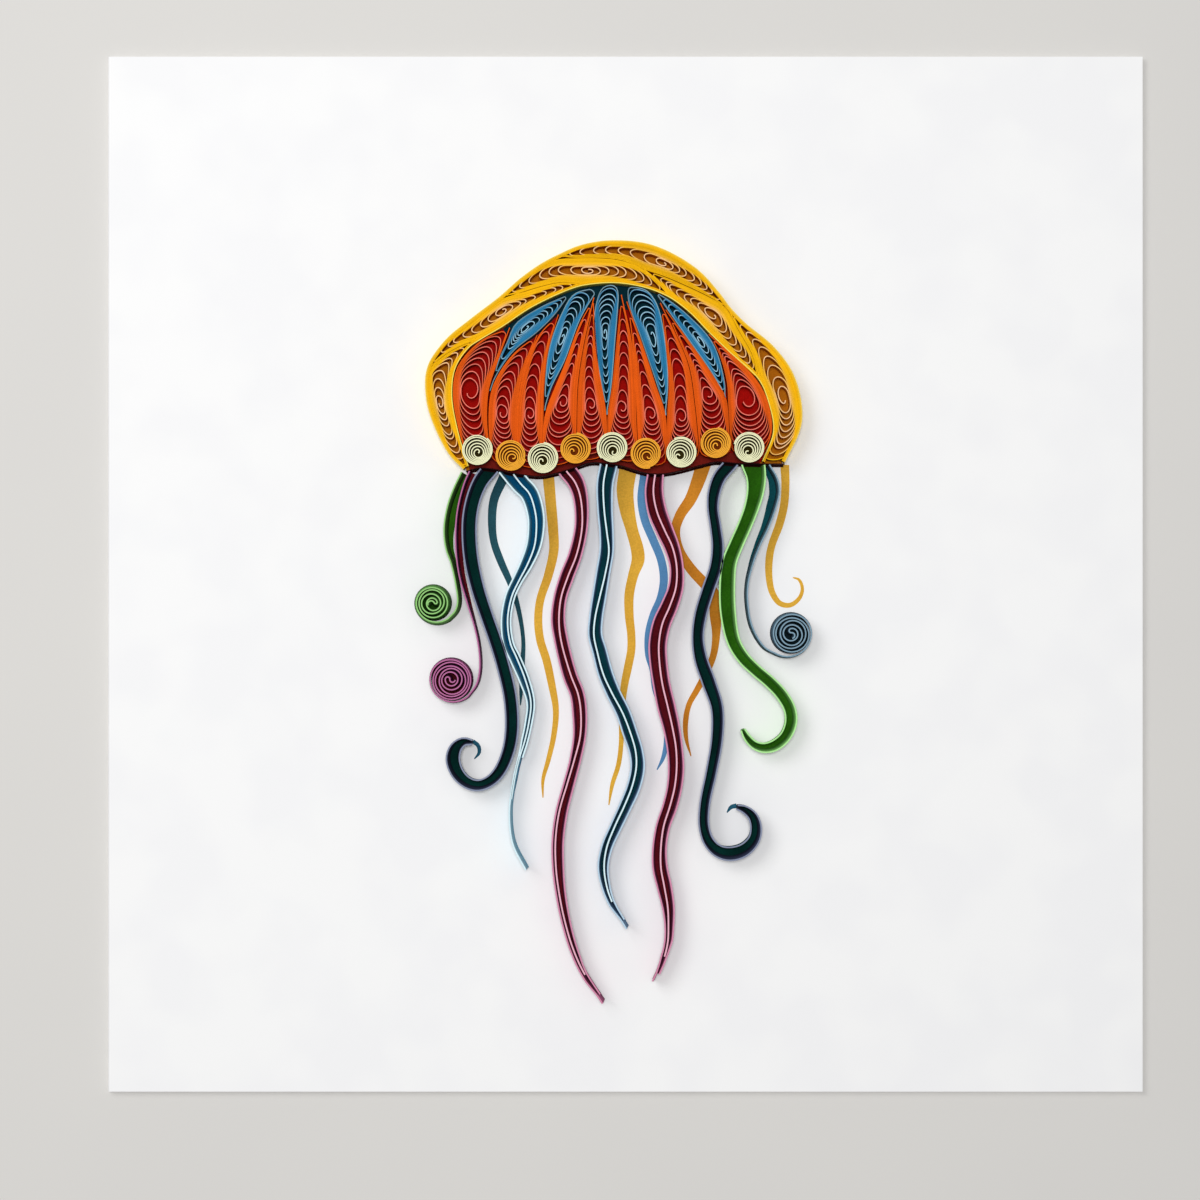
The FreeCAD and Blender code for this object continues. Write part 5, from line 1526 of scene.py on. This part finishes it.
@dataclass
class RolledTentacles:
    """Tentacles of one strip, each with a rolled end and a printed band beside it.

    Attributes:
        maker: stands the strips.
        paper: thickness of the strip.
        spacing: distance between points along the route.
        facets: points in a turn of the roll.
        eye: radius at the inner end of the roll.
        entering: share of a turn over which the strip comes closer as it enters the roll.
        tightness: above one, the outer turns lie closer together than the inner ones.
        wobble: how far the turns stray from an even spiral.
        waves: how often they do so in a turn.
        hook: points in each half of the S at the inner end.
        reach: share of the route that the printed band follows.
        lap: how far that band reaches in under the strip.
        band_top: height of that band.
        disc_top: height of the disc of painted shade under the roll.
    """

    maker: StripMaker
    paper: float = 0.19
    spacing: float = 0.4
    facets: int = 36
    eye: float = 0.85
    entering: float = 0.3
    tightness: float = 1.3
    wobble: float = 0.07
    waves: float = 1.5
    hook: int = 10
    reach: float = 0.75
    lap: float = 0.1
    band_top: float = CARD_TOP + 0.03
    disc_top: float = CARD_TOP + 0.035

    def roll(self, start: Point, look: RollLook) -> Line:
        """Points of a roll, from its outer end in to its eye.

        Args:
            start: the last point of the route.
            look: the roll's shape.

        Returns:
            The points after the start.
        """
        middle = look.middle
        angle = math.atan2(start[1] - middle[1], start[0] - middle[0])
        radius = distance(start, middle)
        points: Line = []
        steps = round(look.turns * self.facets)
        turned = angle
        for step in range(1, steps + 1):
            turn = step / self.facets
            turned = angle + look.sweep * 2 * math.pi * turn
            entered = look.entry * math.sin(min(turn / self.entering, 1) * math.pi / 2)
            reach = radius - entered + (self.eye - radius + look.entry) * (step / steps) ** self.tightness
            within = math.sin(math.pi * step / steps)
            reach += self.wobble * math.sin(turned * self.waves) * within
            reach += look.sag[0] * math.cos(turned - math.radians(look.sag[1])) * within
            points.append((middle[0] + math.cos(turned) * reach, middle[1] + math.sin(turned) * reach))
        # The inner end turns back in an S across the eye
        for size, share, way in EYE_BENDS:
            centre = (middle[0] + math.cos(turned) * self.eye * share,
                      middle[1] + math.sin(turned) * self.eye * share)
            for step in range(1, self.hook + 1):
                bent = turned + look.sweep * way * math.pi * step / self.hook
                points.append((centre[0] + math.cos(bent) * self.eye * size,
                               centre[1] + math.sin(bent) * self.eye * size))
        return points

    def build(self) -> None:
        """Make every tentacle of this kind."""
        for name, look in ROLLS.items():
            route = below_hem([even(led_in(look.route), self.spacing)], GLUE_GAP + TENTACLE_PAPER / 2)[0]
            line = route + self.roll(route[-1], look)
            piece = self.maker.stand(f"{name}_strip", line, self.paper, INK_TOP, STRIP_HEIGHT,
                                     look.paper.material(), look.lean)
            placed(piece, look.slot, name)
            kept = route[:round(len(route) * self.reach)]
            stops = [(float(index), width) for index, width in enumerate(look.widths)]
            side = -look.sweep
            widths = [side * p[1] for p in resampled(stops, len(kept))]
            ink = look.ink.material()
            # A dark disc under the roll, painted shade between its turns.
            radius = distance(route[-1], look.middle) - look.entry - TENTACLE_PAPER
            disc = patch(f"{name}_disc", circle(look.middle, radius), self.disc_top)
            printed(disc, look.roll_shade.material(), look.colour)
            sides = [beside(kept, -side * self.lap), beside(kept, widths)]
            printed(film(f"{name}_band", *below_hem(sides, 0), self.band_top), ink, look.colour)


@dataclass
class Ribbons:
    """Printed ribbons with no strip on them, and the tails past the hooked tentacles.

    Attributes:
        spacing: distance between points.
        top: height of the ribbons' upper face.
    """

    spacing: float = 0.4
    top: float = CARD_TOP + 0.02

    def build(self) -> None:
        """Make every ribbon."""
        yellow, tail = YELLOW_INK.material(), TAIL_INK.material()
        runs = [(f"yellow_ribbon_{n}", r, yellow, "yellow") for n, r in enumerate(YELLOW_RIBBONS, 1)]
        runs += [("orange_ribbon", ORANGE_RIBBON, ORANGE_INK.material(), "orange"),
                 ("sky_ribbon", SKY_RIBBON, SKY_INK.material(), "sky"),
                 ("teal_ribbon", TEAL_RIBBON, RIBBON_TEAL_INK.material(), "teal")]
        runs += [(f"teal_tail_{n}", r, tail, "teal") for n, r in enumerate(TEAL_TAILS, 1)]
        for name, route, finish, colour in runs:
            hung = "tail" not in name
            line = even(led_in(route) if hung else route, self.spacing)
            sides = [beside(line, [p[2] for p in line]), beside(line, [-p[2] for p in line])]
            printed(film(name, *(below_hem(sides, 0) if hung else sides), self.top), finish, colour)


@dataclass
class Studio:
    """Floor, lamps, world and the camera that looks straight down.

    Attributes:
        floor: colour of the floor.
        floor_cloud: colour of its faint clouds.
        floor_reach: how far it reaches each way.
        floor_level: its height, a little under the card.
        ambient: strength of the white world.
        aim: the point of the card's front under the camera.
        view_width: width of the view at the card's front.
        distance: height of the camera over the card's front.
    """

    floor: str = "#DEDCD8"
    floor_cloud: str = "#D9D7D4"
    floor_reach: float = 1500
    floor_level: float = -0.05
    ambient: float = 0.25
    aim: Point = (-3.7, -3.8)
    view_width: float = 176.7
    distance: float = 420.0

    def build(self) -> None:
        """Make the studio."""
        self.lay_floor()
        self.hang_lamp("overhead", (-10, 40, 700), size=140, power=2.4)
        self.hang_lamp("side", (-330, 260, 520), size=360, power=1.5)
        world = bpy.data.worlds.new("studio")
        bpy.context.scene.world = world
        world.use_nodes = True
        sky = world.node_tree.nodes["Background"].inputs
        sky["Color"].default_value = (1, 1, 1, 1)
        sky["Strength"].default_value = self.ambient
        self.set_camera()
        bpy.context.scene.view_settings.view_transform = "Standard"

    def lay_floor(self) -> None:
        """Lay the plain floor under the card."""
        corners = [(x * self.floor_reach, y * self.floor_reach, self.floor_level)
                   for x, y in ((-1, -1), (1, -1), (1, 1), (-1, 1))]
        plane = mesh_object("floor", corners, [], [(0, 1, 2, 3)])
        material, tree, place = blank_material("matt_table_top")
        cloud = noise(tree, place, TABLE_CLOUD)
        colour = mixed(tree, cloud, linear(self.floor), linear(self.floor_cloud))
        matt_surface(tree, colour, cloud, depth=0.01, roughness=0.9, gloss=0.2)
        covered(plane, material)

    def hang_lamp(self, name: str, place: Point, size: float, power: float) -> None:
        """Hang a square soft lamp that points at the middle of the card.

        Args:
            name: the lamp's name.
            place: where it hangs.
            size: its side.
            power: its power in watts.
        """
        lamp = bpy.data.lights.new(name, "AREA")
        lamp.size = size * MM
        lamp.energy = power
        holder = bpy.data.objects.new(name, lamp)
        holder.location = Vector(place) * MM
        holder.rotation_euler = (-Vector(place)).to_track_quat("-Z", "Y").to_euler()
        bpy.context.scene.collection.objects.link(holder)

    def set_camera(self) -> None:
        """Set the camera over the card."""
        camera = bpy.data.cameras.new("camera")
        camera.sensor_width = 36
        camera.lens = camera.sensor_width * self.distance / self.view_width
        camera.clip_start = 0.01
        holder = bpy.data.objects.new("camera", camera)
        holder.location = Vector((*self.aim, CARD_TOP + self.distance)) * MM
        bpy.context.scene.collection.objects.link(holder)
        bpy.context.scene.camera = holder


def main() -> None:
    """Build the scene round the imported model."""
    logging.basicConfig(level=logging.INFO, format="%(message)s")
    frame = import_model()
    maker = StripMaker()
    Studio().build()
    Card().build(frame["nodes"])
    BellGround().build()
    Bell(maker).build()
    BeadRow(maker).build()
    Tentacles(maker).build()
    RolledTentacles(maker).build()
    Ribbons().build()


if __name__ == "__main__":
    main()
